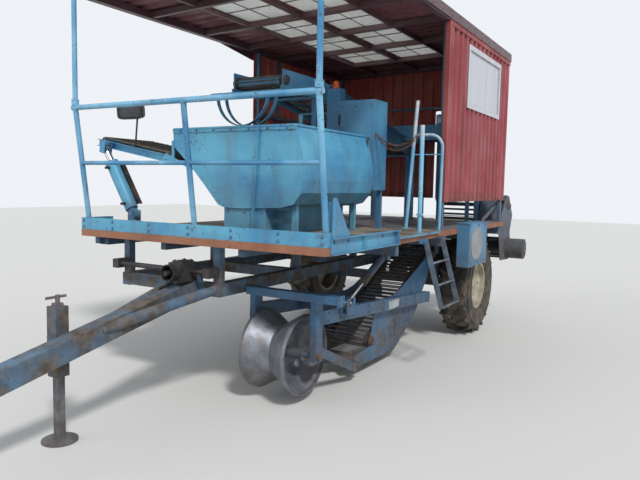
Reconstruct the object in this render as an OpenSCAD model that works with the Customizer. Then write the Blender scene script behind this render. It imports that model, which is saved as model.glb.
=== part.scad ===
// Towed single-row potato harvester: digging unit, webs, covered picking
// platform, boat-shaped hopper and a hinged discharge elevator.
// X points to the machine's left, Y to its rear, Z up, in millimetres.

/* [Platform] */
// Rear end of the platform, measured from its front edge
platform_l = 4340; // [4300:10:4400]
// Height of the deck's walking face above the ground
deck_z = 1238; // [1232:1:1250]
// Thickness of the deck
deck_t = 36; // [28:1:44]
// Height of the timber edge under the front kick board
edge_h = 56; // [44:1:70]
// Height of the front kick board
kick_h = 95; // [70:1:120]
// Height of the front rail's middle
rail_z = 2215; // [2150:5:2260]
// Height of the middle rail
mid_rail_z = 1778; // [1700:5:1850]
// Diameter of the rail tubes
rail_d = 42; // [34:1:48]
// Forward lean of the front railing at the top
rail_lean = 130; // [60:5:140]

/* [Canopy] */
// Height of the roof's left edge
roof_z = 3232; // [3180:2:3300]
// Drop of the roof toward the right side
roof_drop = 60; // [40:5:140]
// Front end of the roof
roof_y0 = -95; // [-120:5:-80]
// Front end of the left canopy wall
wall_y0 = 2160; // [2120:5:2200]
// Lower edge of the canopy walls
wall_z0 = 1500; // [1450:5:1560]
// Pitch of the sheet's ribs
rib_pitch = 139; // [120:1:160]
// Depth of the sheet's ribs
rib_h = 22; // [14:1:30]
// Thickness of the sheet
sheet_t = 3; // [2:0.5:4]
// Length of the wall window
win_l = 1150; // [1000:5:1200]
// Height of the wall window
win_h = 580; // [500:5:620]

/* [Hopper] */
// Front face of the hopper
hop_y0 = 540; // [500:5:560]
// Length of the hopper along the machine
hop_l = 1170; // [1120:5:1180]
// Upper edge of the hopper
hop_z1 = 2082; // [2050:2:2110]
// Lowest point of the hopper
hop_z0 = 1440; // [1420:2:1450]
// Thickness of the hopper's plate
hop_t = 6; // [4:0.5:8]

/* [Discharge elevator] */
// Length of the elevator from its hinge
elev_l = 890; // [800:5:950]
// Upward angle of the elevator at rest
elev_a = 10; // [8:0.5:12]
// Height of the side channels
elev_h = 62; // [50:1:74]
// Width of the elevator along the machine
elev_w = 640; // [600:5:680]
// Diameter of the ram's barrel
ram_d = 110; // [90:1:120]
// Diameter of the ram's rod
rod_d = 60; // [46:1:66]

/* [Wheels] */
// Diameter of the tyres
tyre_d = 1080; // [1040:5:1120]
// Width of the tyres
tyre_w = 340; // [300:2:350]
// Height of the tyre's lugs
lug_h = 26; // [18:1:32]
// Distance between the middles of the wheels
track_w = 1970; // [1950:5:1990]
// Place of the axle behind the platform's front edge
axle_y = 3550; // [3520:5:3580]
// Diameter of the wheel spindle
spindle_d = 60; // [50:1:70]

/* [Digging unit] */
// Width of the rod webs
web_w = 470; // [440:2:480]
// Largest radius of the ridge roller
roller_r = 305; // [290:1:320]
// Waist radius of the ridge roller
waist_r = 205; // [180:1:230]
// Length of the ridge roller
roller_l = 400; // [370:2:410]
// Height of the ridge roller's axle when parked
roller_z = 372; // [368:1:390]
// Place of the ridge roller behind the platform's front edge
roller_y = 470; // [450:5:490]
// Diameter of the web's rods
bar_d = 11; // [8:1:14]
// Spacing of the web's rods
bar_pitch = 62; // [50:1:80]

/* [Drawbar] */
// Place of the hitch eye in front of the platform
hitch_y = -1760; // [-1850:5:-1700]
// Height of the hitch eye
hitch_z = 470; // [440:5:500]
// Diameter of the hole in the hitch eye
eye_d = 50; // [40:1:52]
// Diameter of the drive shaft's end
pto_d = 35; // [30:1:35]

/* [Ladder] */
// Length of the ladder
ladder_l = 590; // [560:5:620]
// Outward lean of the ladder
ladder_a = 16; // [10:1:18]
// Width of the ladder
ladder_w = 415; // [390:5:430]

/* [Hidden] */
blue = "#5b9fc4";
steel = "#7d8288";
dark = "#2c2e31";
rust = "#8a5a44";
sheet_c = "#7a3f41";
rubber_c = "#1d1d1d";
$fn = 40;
// The platform covers the tyres, and the row lies between the left tyre and the frame.
platform_w = track_w + tyre_w + 30;
row_x = track_w / 2 - tyre_w / 2 - web_w / 2 - 35;
half = platform_w / 2;
deck_b = deck_z - edge_h;
web_x0 = row_x - web_w / 2;
web_x1 = row_x + web_w / 2;
plate_t = 6;
tyre_r = tyre_d / 2;
rim_r = tyre_r * 0.47;
hub_r = 70;
spin_r = spindle_d / 2;
run = 0.08;
frame_z0 = 800;
frame_z1 = 900;
frame_xl = 180;
frame_xr = -(track_w / 2 - tyre_w / 2 - 55);
sub_h = 100;
sub_z = deck_b - sub_h;
digp_y = 2990;
digp_z = 940;
win_y1 = platform_l - 430;
win_y0 = win_y1 - win_l;
win_z1 = roof_z - 194;
win_z0 = win_z1 - win_h;
right_y0 = wall_y0 + 125;
roof_a = atan(roof_drop / platform_w);
rail_a = atan(rail_lean / (rail_z - deck_z));
rail_y = 60;
post_x = half - 30;
hinge_x = -735;
hinge_z = 1838;
elev_y0 = hop_y0 + 12;
elev_y1 = elev_y0 + elev_w;
ram_y = elev_y0 - 62;
ram_bx = -1090;
ram_bz = 1346;
ram_s = 720;
ram_ex = hinge_x - ram_s * cos(elev_a) - 40 * sin(elev_a);
ram_ez = hinge_z + ram_s * sin(elev_a) - 40 * cos(elev_a);
ram_l = sqrt(pow(ram_ex - ram_bx, 2) + pow(ram_ez - ram_bz, 2));
ram_a = atan2(ram_ez - ram_bz, ram_ex - ram_bx);
dram_ty = 1480;
dram_tz = sub_z - 40;
dram_by = 830;
dram_bz = 730;
dram_x = web_x1 + 110;
dram_l = sqrt(pow(dram_by - dram_ty, 2) + pow(dram_bz - dram_tz, 2));
dram_a = atan2(dram_bz - dram_tz, dram_by - dram_ty);
lad_x = half + 52;
ladder_t = 22;
lad_z = deck_b - 6;
lad_y0 = 1600;
x_max = lad_x + ladder_l * sin(ladder_a) + ladder_t * cos(ladder_a);
x_min = hinge_x - elev_l * cos(elev_a) - elev_h / 2 * sin(elev_a);
eye_r = eye_d / 2 + 32;
y_min = hitch_y - eye_r;
y_max = platform_l + 620;
mid_x = (x_max + x_min) / 2;
mid_y = (y_max + y_min) / 2;

module home() { translate([-mid_x, -mid_y, 0]) children(); }

// A box from one corner to the other.
module bx(x0, x1, y0, y1, z0, z1) {
    translate([x0, y0, z0]) cube([x1 - x0, y1 - y0, z1 - z0]);
}

// Round bars along each axis.
module barx(x0, x1, y, z, r) {
    translate([x0, y, z]) rotate([0, 90, 0]) cylinder(h = x1 - x0, r = r);
}
module bary(x, y0, y1, z, r) {
    translate([x, y0, z]) rotate([-90, 0, 0]) cylinder(h = y1 - y0, r = r);
}
module barz(x, y, z0, z1, r) {
    translate([x, y, z0]) cylinder(h = z1 - z0, r = r);
}

// A round bar between two points.
module rod(a, b, r) {
    d = b - a;
    l = norm(d);
    translate(a) rotate([0, acos(d[2] / l), atan2(d[1], d[0])]) cylinder(h = l, r = r);
}

// A plate in the Y-Z plane, from x0 and t thick.
module side_plate(x0, t, pts) {
    translate([x0, 0, 0]) rotate([90, 0, 90]) linear_extrude(t) polygon(pts);
}

// A box beam in the Y-Z plane between two points.
module beam_yz(x0, w, ya, za, yb, zb, h) {
    l = sqrt(pow(yb - ya, 2) + pow(zb - za, 2));
    translate([x0, ya, za]) rotate([atan2(zb - za, yb - ya), 0, 0])
        translate([0, 0, -h / 2]) cube([w, l, h]);
}

// A ribbed sheet, l long and h high, its ribs standing up along Z.
module ribbed(l, h) {
    n = floor(l / rib_pitch);
    p = l / n;
    top = [for (i = [0 : n - 1]) each [
        [i * p, 0], [i * p + p * 0.42, 0], [i * p + p * 0.54, rib_h], [i * p + p * 0.88, rib_h]]];
    back = [for (i = [n - 1 : -1 : 0]) each [
        [i * p + p * 0.88, rib_h + sheet_t], [i * p + p * 0.54, rib_h + sheet_t],
        [i * p + p * 0.42, sheet_t], [i * p, sheet_t]]];
    linear_extrude(h) polygon(concat(top, [[l, 0], [l, sheet_t]], back));
}

// A stadium outline along Y, from 0 to l.
module stadium(l, r) {
    translate([0, -r]) square([l, 2 * r]);
    circle(r);
    translate([l, 0]) circle(r);
}

// A rod web: two side belts carrying rods, looped over rollers of radius r.
// It starts at the lower roller, its length l runs up at angle a.
module rod_web(x0, x1, y, z, l, a, r, pitch) {
    belt = 30;
    n = floor(l / pitch);
    m = 5;
    translate([x0, y, z]) rotate([a, 0, 0]) {
        for (x = [0, x1 - x0 - belt])
            translate([x, 0, 0]) rotate([90, 0, 90]) linear_extrude(belt) difference() {
                stadium(l, r + 4);
                stadium(l, r - 8);
            }
        for (i = [0 : n], s = [-1, 1])
            translate([4, i * l / n, s * r]) rotate([45, 0, 0])
                translate([0, -bar_d / 2, -bar_d / 2]) cube([x1 - x0 - 8, bar_d, bar_d]);
        for (k = [1 : m - 1], e = [0, 1]) {
            t = (e == 0 ? 90 : -90) + k * 180 / m;
            translate([4, e * l + r * cos(t), r * sin(t)]) rotate([45 + t, 0, 0])
                translate([0, -bar_d / 2, -bar_d / 2]) cube([x1 - x0 - 8, bar_d, bar_d]);
        }
    }
}

// The rollers and shafts that carry a web, reaching past it to both sides.
module web_shafts(x0, x1, y, z, l, a, r) {
    translate([0, y, z]) rotate([a, 0, 0])
        for (s = [0, l]) {
            barx(x0, x1, s, 0, 18);
            for (x = [x0 + 24, (x0 + x1) / 2 - 20, x1 - 64]) barx(x, x + 40, s, 0, r - 8.2);
        }
}

// Fixed frame
module main_frame() color(blue) home() {
    // Long beams and the cross beams that join them.
    rear = platform_l - 80;
    for (x = [frame_xl, frame_xr]) bx(x - 40, x + 40, 100, rear + 70, frame_z0, frame_z1);
    for (y = [100, 1150, 2350, rear - 10]) bx(frame_xr, frame_xl, y, y + 80, frame_z0 + 5, frame_z1 - 5);
    // Uprights to the platform's cross beams; the front one is shallow.
    cross = [[110, deck_b - 12], [1160, sub_z], [2230, sub_z], [3180, sub_z], [rear, sub_z]];
    for (c = cross) {
        for (x = [frame_xl, frame_xr]) bx(x - 30, x + 30, c[0], c[0] + 60, frame_z1 - 5, c[1] + 5);
        bx(-half + 30, half - 30, c[0], c[0] + 60, c[1], deck_z - deck_t);
    }
    for (x = [-half + 30, -380, 380]) bx(x, x + 50, 110, platform_l - 20, sub_z + 30, deck_z - deck_t);
    bx(-110, -10, 100, 180, frame_z1 - 6, 1010);
    // Brackets that carry the digging unit's pivot shaft.
    for (x = [web_x0 - 42, web_x1 + 30])
        bx(x, x + 12, digp_y - 50, digp_y + 50, digp_z - 20, sub_z + 60);
    bx(web_x0 - 42, web_x1 + 42, digp_y + 20, digp_y + 70, sub_z + 40, deck_z - deck_t);
    for (x = [web_x0 - 46, web_x1 + 14]) bx(x, x + 32, digp_y - 20, 3240, sub_z + 42, sub_z + 92);
    barx(web_x0 - 42, web_x1 + 42, digp_y, digp_z, 16);
    // Axle beam with its posts and spindles.
    axle_x = track_w / 2 - tyre_w / 2 - 12;
    bx(-axle_x, axle_x, axle_y - 50, axle_y + 50, tyre_r - 50, tyre_r + 50);
    for (x = [frame_xl, frame_xr]) bx(x - 45, x + 45, axle_y - 70, axle_y + 70, tyre_r + 40, frame_z0 + 10);
    for (s = [-1, 1]) {
        a = s > 0 ? axle_x - 20 : -(track_w / 2 + 60);
        barx(a, a + track_w / 2 + 60 - axle_x + 20, axle_y, tyre_r, spin_r);
    }
    // Top lugs for the digging unit's lift ram.
    for (x = [dram_x - 50, dram_x + 40])
        difference() {
            bx(x, x + 10, dram_ty - 35, dram_ty + 35, dram_tz - 35, sub_z + 50);
            barx(x - 1, x + 11, dram_ty, dram_tz, 15 + run);
        }
    bx(dram_x - 50, dram_x + 50, dram_ty - 35, dram_ty + 35, sub_z + 40, deck_z - deck_t);
    bx(dram_x - 16, dram_x + 16, 1190, dram_ty + 20, sub_z + 45, sub_z + 85);
    // Base of the elevator ram, up through the planks at the platform's right side.
    bx(-half + 30, -half + 130, 160, 1170, sub_z + 20, sub_z + 70);
    bx(ram_bx - 40, ram_bx + 40, ram_y - 46, ram_y + 46, sub_z + 30, deck_z + 10);
    for (y = [ram_y - 44, ram_y + 34])
        difference() {
            bx(ram_bx - 35, ram_bx + 35, y, y + 10, deck_z + 10, ram_bz + 35);
            bary(ram_bx, y - 1, y + 11, ram_bz, 16 + run);
        }
}

module drawbar() color(blue) home() {
    x = -60;
    difference() {
        union() {
            beam_yz(x - 60, 120, 150, 850, hitch_y + 120, hitch_z + 20, 130);
            bx(x - 75, x + 75, 60, 100, frame_z0 - 30, frame_z1 + 10);
            // Side brace from the left beam.
            rod([frame_xl - 20, 112, 850], [x + 30, -760, 690], 38);
            rod([frame_xl - 260 - 200, 112, 850], [x - 30, -760, 690], 38);
            bx(x - 45, x + 45, hitch_y + 30, hitch_y + 170, hitch_z - 25, hitch_z + 60);
            barz(x, hitch_y, hitch_z - 20, hitch_z + 20, eye_r);
            // Sleeve of the parking jack.
            bx(x - 160, x - 56, -1010, -910, 560, 600);
            bx(x - 160, x - 56, -1010, -910, 640, 680);
            bx(x - 165, x - 75, -1005, -915, 420, 860);
        }
        barz(x, hitch_y, hitch_z - 30, hitch_z + 30, eye_d / 2);
        bx(x - 145.5, x - 94.5, -985.5, -934.5, 400, 900);
        bx(-800, 400, 100, 300, 600, 1100);
    }
}

module jack_leg() color(steel) home() {
    x = -60 - 120;
    bx(x - 25, x + 25, -985, -935, 8, 880);
    barz(x, -960, 0, 12, 110);
    barz(x, -960, 870, 930, 14);
    bary(x, -1040, -900, 918, 9);
}

module drive_line() color(dark) home() {
    // Gearbox over the drawbar's root, its input shaft and guard, and cross shafts.
    x = -60;
    z = frame_z1 + 84;
    bx(x - 65, x + 65, -70, 100, frame_z1 + 10, frame_z1 + 150);
    bx(x - 45, x + 45, -50, 80, frame_z1 + 145, frame_z1 + 162);
    bary(x, -170, -60, z, pto_d / 2);
    difference() {
        bary(x, -150, -65, z, 62);
        bary(x, -151, -75, z, 55);
    }
    barx(x + 60, frame_xl + 25, 30, z, 20);
    barx(frame_xr - 25, x - 60, 30, z, 20);
    for (x2 = [frame_xl, frame_xr]) bx(x2 - 30, x2 + 30, -10, 110, z - 35, z + 35);
}

// Platform
module deck_planks() color("#9a8f80") home() {
    // Timber planks on the front platform, laid across the machine.
    n = 14;
    p = (2150 - 15) / n;
    difference() {
        for (i = [0 : n - 1]) bx(-half + 6, half - 6, 15 + i * p, 15 + (i + 1) * p - 6, deck_z - deck_t, deck_z);
        bx(ram_bx - 42, ram_bx + 42, ram_y - 48, ram_y + 48, deck_z - deck_t - 1, deck_z + 1);
    }
}

module rear_deck() color(steel) home() {
    difference() {
        bx(-half + 6, half - 6, 2150, platform_l, deck_z - deck_t, deck_z);
        bx(web_x0 - 40, web_x1 + 40, 4180, platform_l + 1, deck_z - deck_t - 10, deck_z + 10);
    }
}

module kick_board() color(blue) home() {
    bx(-half, half, -2, 4, deck_z, deck_z + kick_h);
    bx(-half, half, 3, 24, deck_z, deck_z + 5);
    bx(-half, half, 3, 14, deck_z + kick_h - 5, deck_z + kick_h);
    for (x = [-half, half - 6]) bx(x, x + 6, -2, 320, deck_z, deck_z + kick_h);
    for (x = [-800, -400, 0, 400, 800]) bx(x - 3, x + 3, 3, 22, deck_z, deck_z + kick_h);
}

module deck_edge() color(rust) home() {
    bx(-half, half, -4, 15, deck_b, deck_z);
    bx(-half, half, -4, 60, deck_b, deck_b + 7);
    for (x = [-half - 1, half - 6]) bx(x, x + 7, 10, platform_l, deck_b, deck_z - 2);
}

module front_railing() color(blue) home() {
    r = rail_d / 2;
    h = rail_z - deck_z;
    top_y = rail_y - rail_lean;
    mid_y0 = rail_y - rail_lean * (mid_rail_z - deck_z) / h;
    difference() {
        for (x = [-post_x, 20, post_x]) {
            rod([x, rail_y, deck_z], [x, top_y, rail_z], r);
            barz(x, rail_y, deck_z, deck_z + 12, 24);
        }
        bx(-half, half, 0, 200, deck_z - 40, deck_z);
    }
    barx(-post_x - 30, post_x + 30, top_y, rail_z, r);
    barx(-post_x, post_x, mid_y0, mid_rail_z, r * 0.8);
    // Roof posts that stand on the rail at both corners, cut off under the roof's steel.
    for (s = [-1, 1]) {
        top = s > 0 ? roof_z - 40 : roof_z - 40 - roof_drop;
        difference() {
            barz(s * post_x, top_y, rail_z - 10, top, r * 0.95);
            on_roof() bx(-half - 40, half + 40, roof_y0 - 20, 200, roof_z - 80, roof_z + 60);
        }
        barz(s * post_x, top_y, rail_z + 18, rail_z + 60, r * 1.35);
    }
}

module side_channel() color(blue) home() {
    // Channel along the platform's left edge, the gusset at the corner and the tread by the ladder.
    x = half + 1;
    end = 1110;
    bx(x, x + 6, 60, end, deck_b + 4, deck_z + 60);
    bx(x, x + 34, 60, end, deck_z + 54, deck_z + 60);
    bx(x, x + 34, 60, end, deck_b + 4, deck_b + 10);
    side_plate(x, 6, [[70, deck_z + 40], [330, deck_z + 40], [120, deck_z + 320], [70, deck_z + 320]]);
    bx(x - 45, x + 1, 100, 108, deck_z + kick_h, deck_z + 290);
    for (y = [500, end - 40]) bx(x, x + 34, y, y + 6, deck_b + 6, deck_z + 58);
    tread_y1 = lad_y0 + ladder_w + 5;
    bx(x, x + 25, end - 1, tread_y1, deck_z - 12, deck_z);
    bx(x, x + 25, end - 1, end + 7, deck_b, deck_z);
}

post_y = 1700;
module entry_rails() color(blue) home() {
    // Leaning post, and the hoop that bends down from it to the deck's edge.
    y = 2110;
    r = 14;
    bend = 120;
    top = 2122;
    xi = half - 350;
    xo = half - 12;
    rod([xi, y, deck_z + 2], [xi + 82, y, 2440], 17);
    rod([xo - 6, y, deck_z + 2], [xo, y, top - bend + 2], r - 0.5);
    barx(xi + 60, xo - bend + 1, y, top, r - 0.5);
    translate([xo - bend, y, top - bend]) intersection() {
        rotate([90, 0, 0]) rotate_extrude() translate([bend, 0]) circle(r);
        translate([0, -r - 1, 0]) cube([bend + r + 1, 2 * r + 2, bend + r + 1]);
    }
    barx(xi + 50, xo - 2, y, 1940, 5);
    // Post in front of the ladder, with its ring for the chain.
    barz(half - 50, post_y, deck_z, 2170, 19);
    bx(half - 76, half - 50, post_y - 4, post_y + 4, 2104, 2118);
    bx(half - 74, half - 26, post_y - 24, post_y + 24, 1390, 1406);
    for (p = [[half - 50, post_y, 30], [xo - 6, y, 17], [xi, y, 34]])
        bx(p[0] - p[2], p[0] + p[2], p[1] - 30, p[1] + 30, deck_z, deck_z + 8);
}

module chain_link(l, w, t) {
    linear_extrude(t) difference() {
        union() {
            square([l - w, w], center = true);
            for (s = [-1, 1]) translate([s * (l - w) / 2, 0]) circle(w / 2, $fn = 10);
        }
        square([l - w, w - 2 * t], center = true);
        for (s = [-1, 1]) translate([s * (l - w) / 2, 0]) circle(w / 2 - t, $fn = 10);
    }
}

chain_sag = 160;
module safety_chain() color(rust) home() {
    // Links along a catenary from the cabinet to the post by the ladder.
    a = chain_a;
    b = [half - 74, post_y, 2114];
    d = b - a;
    span = norm([d[0], d[1]]);
    c = span * span / (8 * chain_sag) + chain_sag / 6;
    half_l = c * (exp(span / 2 / c) - exp(-span / 2 / c)) / 2;
    link = [35, 20, 6];
    n = ceil(2 * half_l / (link[0] - 2 * link[2]));
    for (i = [0 : n - 1]) {
        s = (2 * (i + 0.5) / n - 1) * half_l;
        x = c * ln(s / c + sqrt(s * s / c / c + 1));
        z = sqrt(c * c + s * s) - sqrt(c * c + half_l * half_l);
        translate(a + d * (x / span + 0.5) + [0, 0, z]) rotate([0, 0, atan2(d[1], d[0])])
            rotate([0, -atan(s / c), 0]) rotate([i % 2 == 0 ? 12 : 102, 0, 0])
                translate([0, 0, -link[2] / 2]) chain_link(link[0], link[1], link[2]);
    }
}

module ladder() color(steel) home() {
    translate([lad_x, lad_y0, lad_z]) rotate([0, -ladder_a, 0]) {
        for (y = [0, ladder_w - 7]) {
            difference() {
                translate([-ladder_t, y, -ladder_l]) cube([2 * ladder_t, 7, ladder_l + 26]);
                translate([0, y - 1, 0]) rotate([-90, 0, 0]) cylinder(h = 9, r = 8 + run);
            }
        }
        for (i = [1 : 3]) translate([-ladder_t + 3, 3, -(i / 3) * (ladder_l - 12)]) {
            cube([2 * ladder_t - 6, ladder_w - 6, 5]);
            for (x = [0, 2 * ladder_t - 11]) translate([x, 0, -9]) cube([5, ladder_w - 6, 13]);
        }
    }
}

module ladder_brackets() {
    for (y = [lad_y0 - 22, lad_y0 + ladder_w + 12]) {
        bx(half + 1, lad_x + 20, y, y + 10, lad_z - 20, lad_z + 20);
        bary(lad_x, y > lad_y0 ? y - 30 : y, y > lad_y0 ? y + 10 : y + 40, lad_z, 8);
    }
}

// Canopy
module on_roof() {
    translate([half, 0, roof_z]) rotate([0, -roof_a, 0]) translate([-half, 0, -roof_z]) children();
}

module cabin_posts() color("#4d5566") home() difference() {
    union() {
        // Corner posts, rails behind the sheets and the posts between.
        for (s = [-1, 1], y = [(s > 0 ? wall_y0 : right_y0) + 40, platform_l - 70]) {
            bx(s * (half - 48) - 22, s * (half - 48) + 22, y, y + 44, deck_z, roof_z);
            bx(s * (half - 51) - 45, s * (half - 51) + 45, y - 20, y + 64, deck_z, deck_z + 8);
        }
        for (s = [-1, 1], z = [wall_z0 + 20, 2400])
            bx(s * (half - 41) - 15, s * (half - 41) + 15, (s > 0 ? wall_y0 : right_y0) + 60, platform_l - 30, z, z + 30);
        for (y = [wall_y0 + 560, platform_l - 560], s = [-1, 1])
            bx(s * (half - 40) - 14, s * (half - 40) + 14, y, y + 28, wall_z0 + 20, roof_z);
        bx(-half + 40, half - 40, platform_l - 56, platform_l - 26, gate_z + 20, gate_z + 50);
    }
    on_roof() bx(-half - 60, half + 60, roof_y0 - 20, platform_l + 60, roof_z - 80, roof_z + 100);
}

rafters = [720, 1440, 2140, 2880, 3600];
module canopy_frame() color("#4d5566") home() on_roof() {
    // Eave beams, rafters and purlins under the sheet.
    for (x = [-half + 2, half - 62]) bx(x, x + 60, roof_y0, platform_l - 5, roof_z - 80, roof_z - 20);
    for (y = concat([roof_y0 + 5], rafters, [platform_l - 60]))
        bx(-half + 40, half - 40, y, y + 40, roof_z - 72, roof_z - 20);
    for (x = [-590, 0, 590]) bx(x - 13, x + 13, roof_y0 + 20, platform_l - 20, roof_z - 58, roof_z - 20);
    // Fascia around the roof.
    for (x = [-half - 10, half + 4]) bx(x, x + 6, roof_y0 - 6, platform_l + 6, roof_z - 66, roof_z + 22);
    for (y = [roof_y0 - 6, platform_l]) bx(-half - 10, half + 10, y, y + 6, roof_z - 66, roof_z + 22);
    // Gusset plate in front of the right wall.
    side_plate(-half - 8, 5, [[right_y0 - 660, roof_z - 60], [right_y0 + 40, roof_z - 60], [right_y0 + 40, roof_z - 155],
        [right_y0, roof_z - 155]]);
}

light_rows = [for (i = [0 : 3]) [rafters[i] + 35, rafters[i + 1] + 10]];
light_cols = [[-560, -60], [60, 560]];

module canopy_roof() color(sheet_c) home() on_roof() difference() {
    translate([-half + 2, roof_y0 + 2, roof_z - 20]) rotate([90, 0, 90])
        ribbed(platform_l - roof_y0 - 4, platform_w - 4);
    for (c = light_cols, q = light_rows) bx(c[0], c[1], q[0], q[1], roof_z - 60, roof_z + 60);
}

module roof_lights() color("#d8d8d2") home() on_roof()
    for (c = light_cols, q = light_rows) {
        bx(c[0] + 1, c[1] - 1, q[0] + 1, q[1] - 1, roof_z - 20, roof_z - 16);
        for (x = [c[0] + 1, c[1] - 7]) bx(x, x + 6, q[0] + 1, q[1] - 1, roof_z - 17, roof_z + 8);
    }

module wall_sheet(s, y0) {
    translate([s > 0 ? half - 26 : -half + 26, y0, wall_z0]) rotate([0, 0, 90]) mirror([0, s > 0 ? 1 : 0, 0])
        ribbed(platform_l - y0 - 4, (s > 0 ? roof_z : roof_z - roof_drop) - 84 - wall_z0);
}

module left_wall() color(sheet_c) home() difference() {
    wall_sheet(1, wall_y0);
    bx(half - 80, half + 40, win_y0, win_y1, win_z0, win_z1);
}

module side_window() color("#c9ccd6") home() {
    difference() {
        union() {
            bx(half - 24, half, win_y0 + 2, win_y1 - 2, win_z0 + 2, win_z1 - 2);
            bx(half - 1, half + 4, win_y0 - 20, win_y1 + 20, win_z0 - 20, win_z1 + 20);
        }
        bx(half - 40, half + 10, win_y0 + 28, win_y1 - 28, win_z0 + 28, win_z1 - 28);
    }
    bx(half - 16, half - 11, win_y0 + 20, win_y1 - 20, win_z0 + 20, win_z1 - 20);
}

module far_walls() color("#96402f") home() {
    wall_sheet(-1, right_y0);
    difference() {
        translate([-half + 36, platform_l - 26, wall_z0]) ribbed(platform_w - 72, roof_z - 84 - wall_z0);
        bx(web_x0 - 60, web_x1 + 60, platform_l - 60, platform_l + 60, wall_z0 - 5, gate_z);
        on_roof() bx(-half, half, platform_l - 60, platform_l + 60, roof_z - 84, roof_z + 100);
    }
}

// Hopper
hop = [[-666, hop_z1], [-666, 1949], [-472, 1777], [-323, 1627], [-175, 1467], [-110, 1445], [60, hop_z0],
       [440, 1458], [558, 1486], [632, 1574], [650, 1677], [648, 1800], [624, 1926], [574, hop_z1]];
hop_in = [[-660, hop_z1 + 5], [-660, 1951.5], [-467, 1780.5], [-318, 1630.5], [-172, 1472.3], [-108, 1451], [60, 1446],
       [439, 1464], [555, 1491.5], [626, 1577], [644, 1678], [642, 1799.5], [618, 1925], [567, hop_z1 + 5]];

module hopper_body() color(blue) home() {
    y1 = hop_y0 + hop_l;
    difference() {
        union() {
            translate([0, y1, 0]) rotate([90, 0, 0]) linear_extrude(hop_l) polygon(hop);
            // Housing that carries the hopper on the deck.
            difference() {
                bx(-118, 297, hop_y0 + 14, y1 - 60, deck_z, 1462);
                bx(-113, 292, hop_y0 + 19, y1 - 65, deck_z - 1, 1442);
            }
            for (y = [hop_y0 + 90, y1 - 120]) bx(490, 530, y, y + 40, deck_z, 1480);
        }
        translate([0, y1 - hop_t, 0]) rotate([90, 0, 0]) linear_extrude(hop_l - 2 * hop_t) polygon(hop_in);
        // Way out to the discharge elevator.
        bx(-700, -600, elev_y0 + 14, elev_y1 - 14, 1962, hop_z1 + 1);
    }
    // Rim bands, and the rib that runs down the front face to the deck.
    bx(-664, 578, hop_y0 - 8, hop_y0 + 1, hop_z1 - 30, hop_z1);
    bx(-662, 578, y1 - 1, y1 + 8, hop_z1 - 30, hop_z1);
    translate([0, hop_y0 + 1, 0]) rotate([90, 0, 0]) linear_extrude(24)
        polygon([[236, hop_z1 - 4], [250, hop_z1 - 4], [206, 1500], [190, deck_z], [178, deck_z], [194, 1500]]);
    bx(178, 190, hop_y0, hop_y0 + 16, deck_z, 1300);
    for (y = [hop_y0 + 90, y1 - 120]) bx(475, 545, y - 15, y + 55, deck_z, deck_z + 8);
    // Angles beside the housing, under the overhang.
    for (z = [1268, 1368]) bx(291, 500, hop_y0 + 150, hop_y0 + 156, z, z + 60);
    // Lugs that carry the discharge elevator.
    for (y = [elev_y0 - 20, elev_y1 + 8]) {
        bx(hinge_x - 30, -655, y, y + 12, hinge_z - 26, hinge_z + 26);
        bx(-680, -655, y, y + 12, hinge_z - 26, hinge_z + 150);
    }
    for (y = [elev_y0 - 20, elev_y1 - 8]) bary(hinge_x, y, y + 28, hinge_z, 15);
    for (y = [elev_y0 - 20, elev_y1 + 8]) rod([-668, y + 6, hinge_z], [-450, y + 6, 1748], 9);
}

module hopper_web() color(dark) home() {
    // Floor web that climbs the long slope, on its end rollers.
    y0 = hop_y0 + hop_t;
    y1 = hop_y0 + hop_l - hop_t;
    pts = [[430, 1484], [62, 1464], [-92, 1468], [-165, 1490], [-312, 1648], [-460, 1798], [-640, 1960]];
    in = [[-636, 1970], [-454, 1806], [-306, 1656], [-158, 1499], [-88, 1477], [62, 1472], [430, 1492]];
    translate([0, y1, 0]) rotate([90, 0, 0]) linear_extrude(y1 - y0) polygon(concat(pts, in));
    for (i = [0 : 12]) {
        t = i / 12;
        translate([-162 - 292 * t, y0 + 10, 1496 + 306 * t]) rotate([0, 46.4, 0])
            translate([-10, 0, 0]) cube([20, y1 - y0 - 20, 22]);
    }
    for (x = [0, 130, 260, 390]) bx(x - 10, x + 10, y0 + 10, y1 - 10, 1466 + x / 18, 1506);
}

module control_column() color(blue) home() {
    // Cabinet behind the hopper, on two legs, with the switch box beside it.
    x0 = 276;
    x1 = 647;
    y0 = hop_y0 + hop_l + 12;
    bx(x0, x1, y0, y0 + 270, 1600, 2420);
    bx(x0 + 20, x1 - 20, y0 - 4, y0 + 1, 1640, 2380);
    for (x = [x0 + 20, x1 - 60]) {
        bx(x, x + 40, y0 + 210, y0 + 250, deck_z, 1605);
        bx(x - 15, x + 55, y0 + 195, y0 + 265, deck_z, deck_z + 8);
    }
    bx(x0 - 140, x0 + 5, y0 + 20, y0 + 110, 2110, 2540);
    bx(x1 - 2, chain_a[0] + 4, chain_a[1] - 5, chain_a[1] + 5, chain_a[2] - 12, chain_a[2] + 12);
}
chain_a = [659, hop_y0 + hop_l + 36, 2116];

// Picking table: flat head over the hopper, then down to its tail by the rear wall.
head_z = 2552;
table_z = 2100;
tab_x0 = -516;
tab_x1 = 14;
head_y = 1215;
bend_y = 1850;
tail_y = platform_l - 170;
tab_a = atan2(head_z - table_z, tail_y - bend_y);
flat_l = bend_y - head_y;
slope_l = norm([tail_y - bend_y, head_z - table_z]);
tab_r = 45;
function tab_z(y) = head_z - max(0, y - bend_y) * tan(tab_a);

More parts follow.
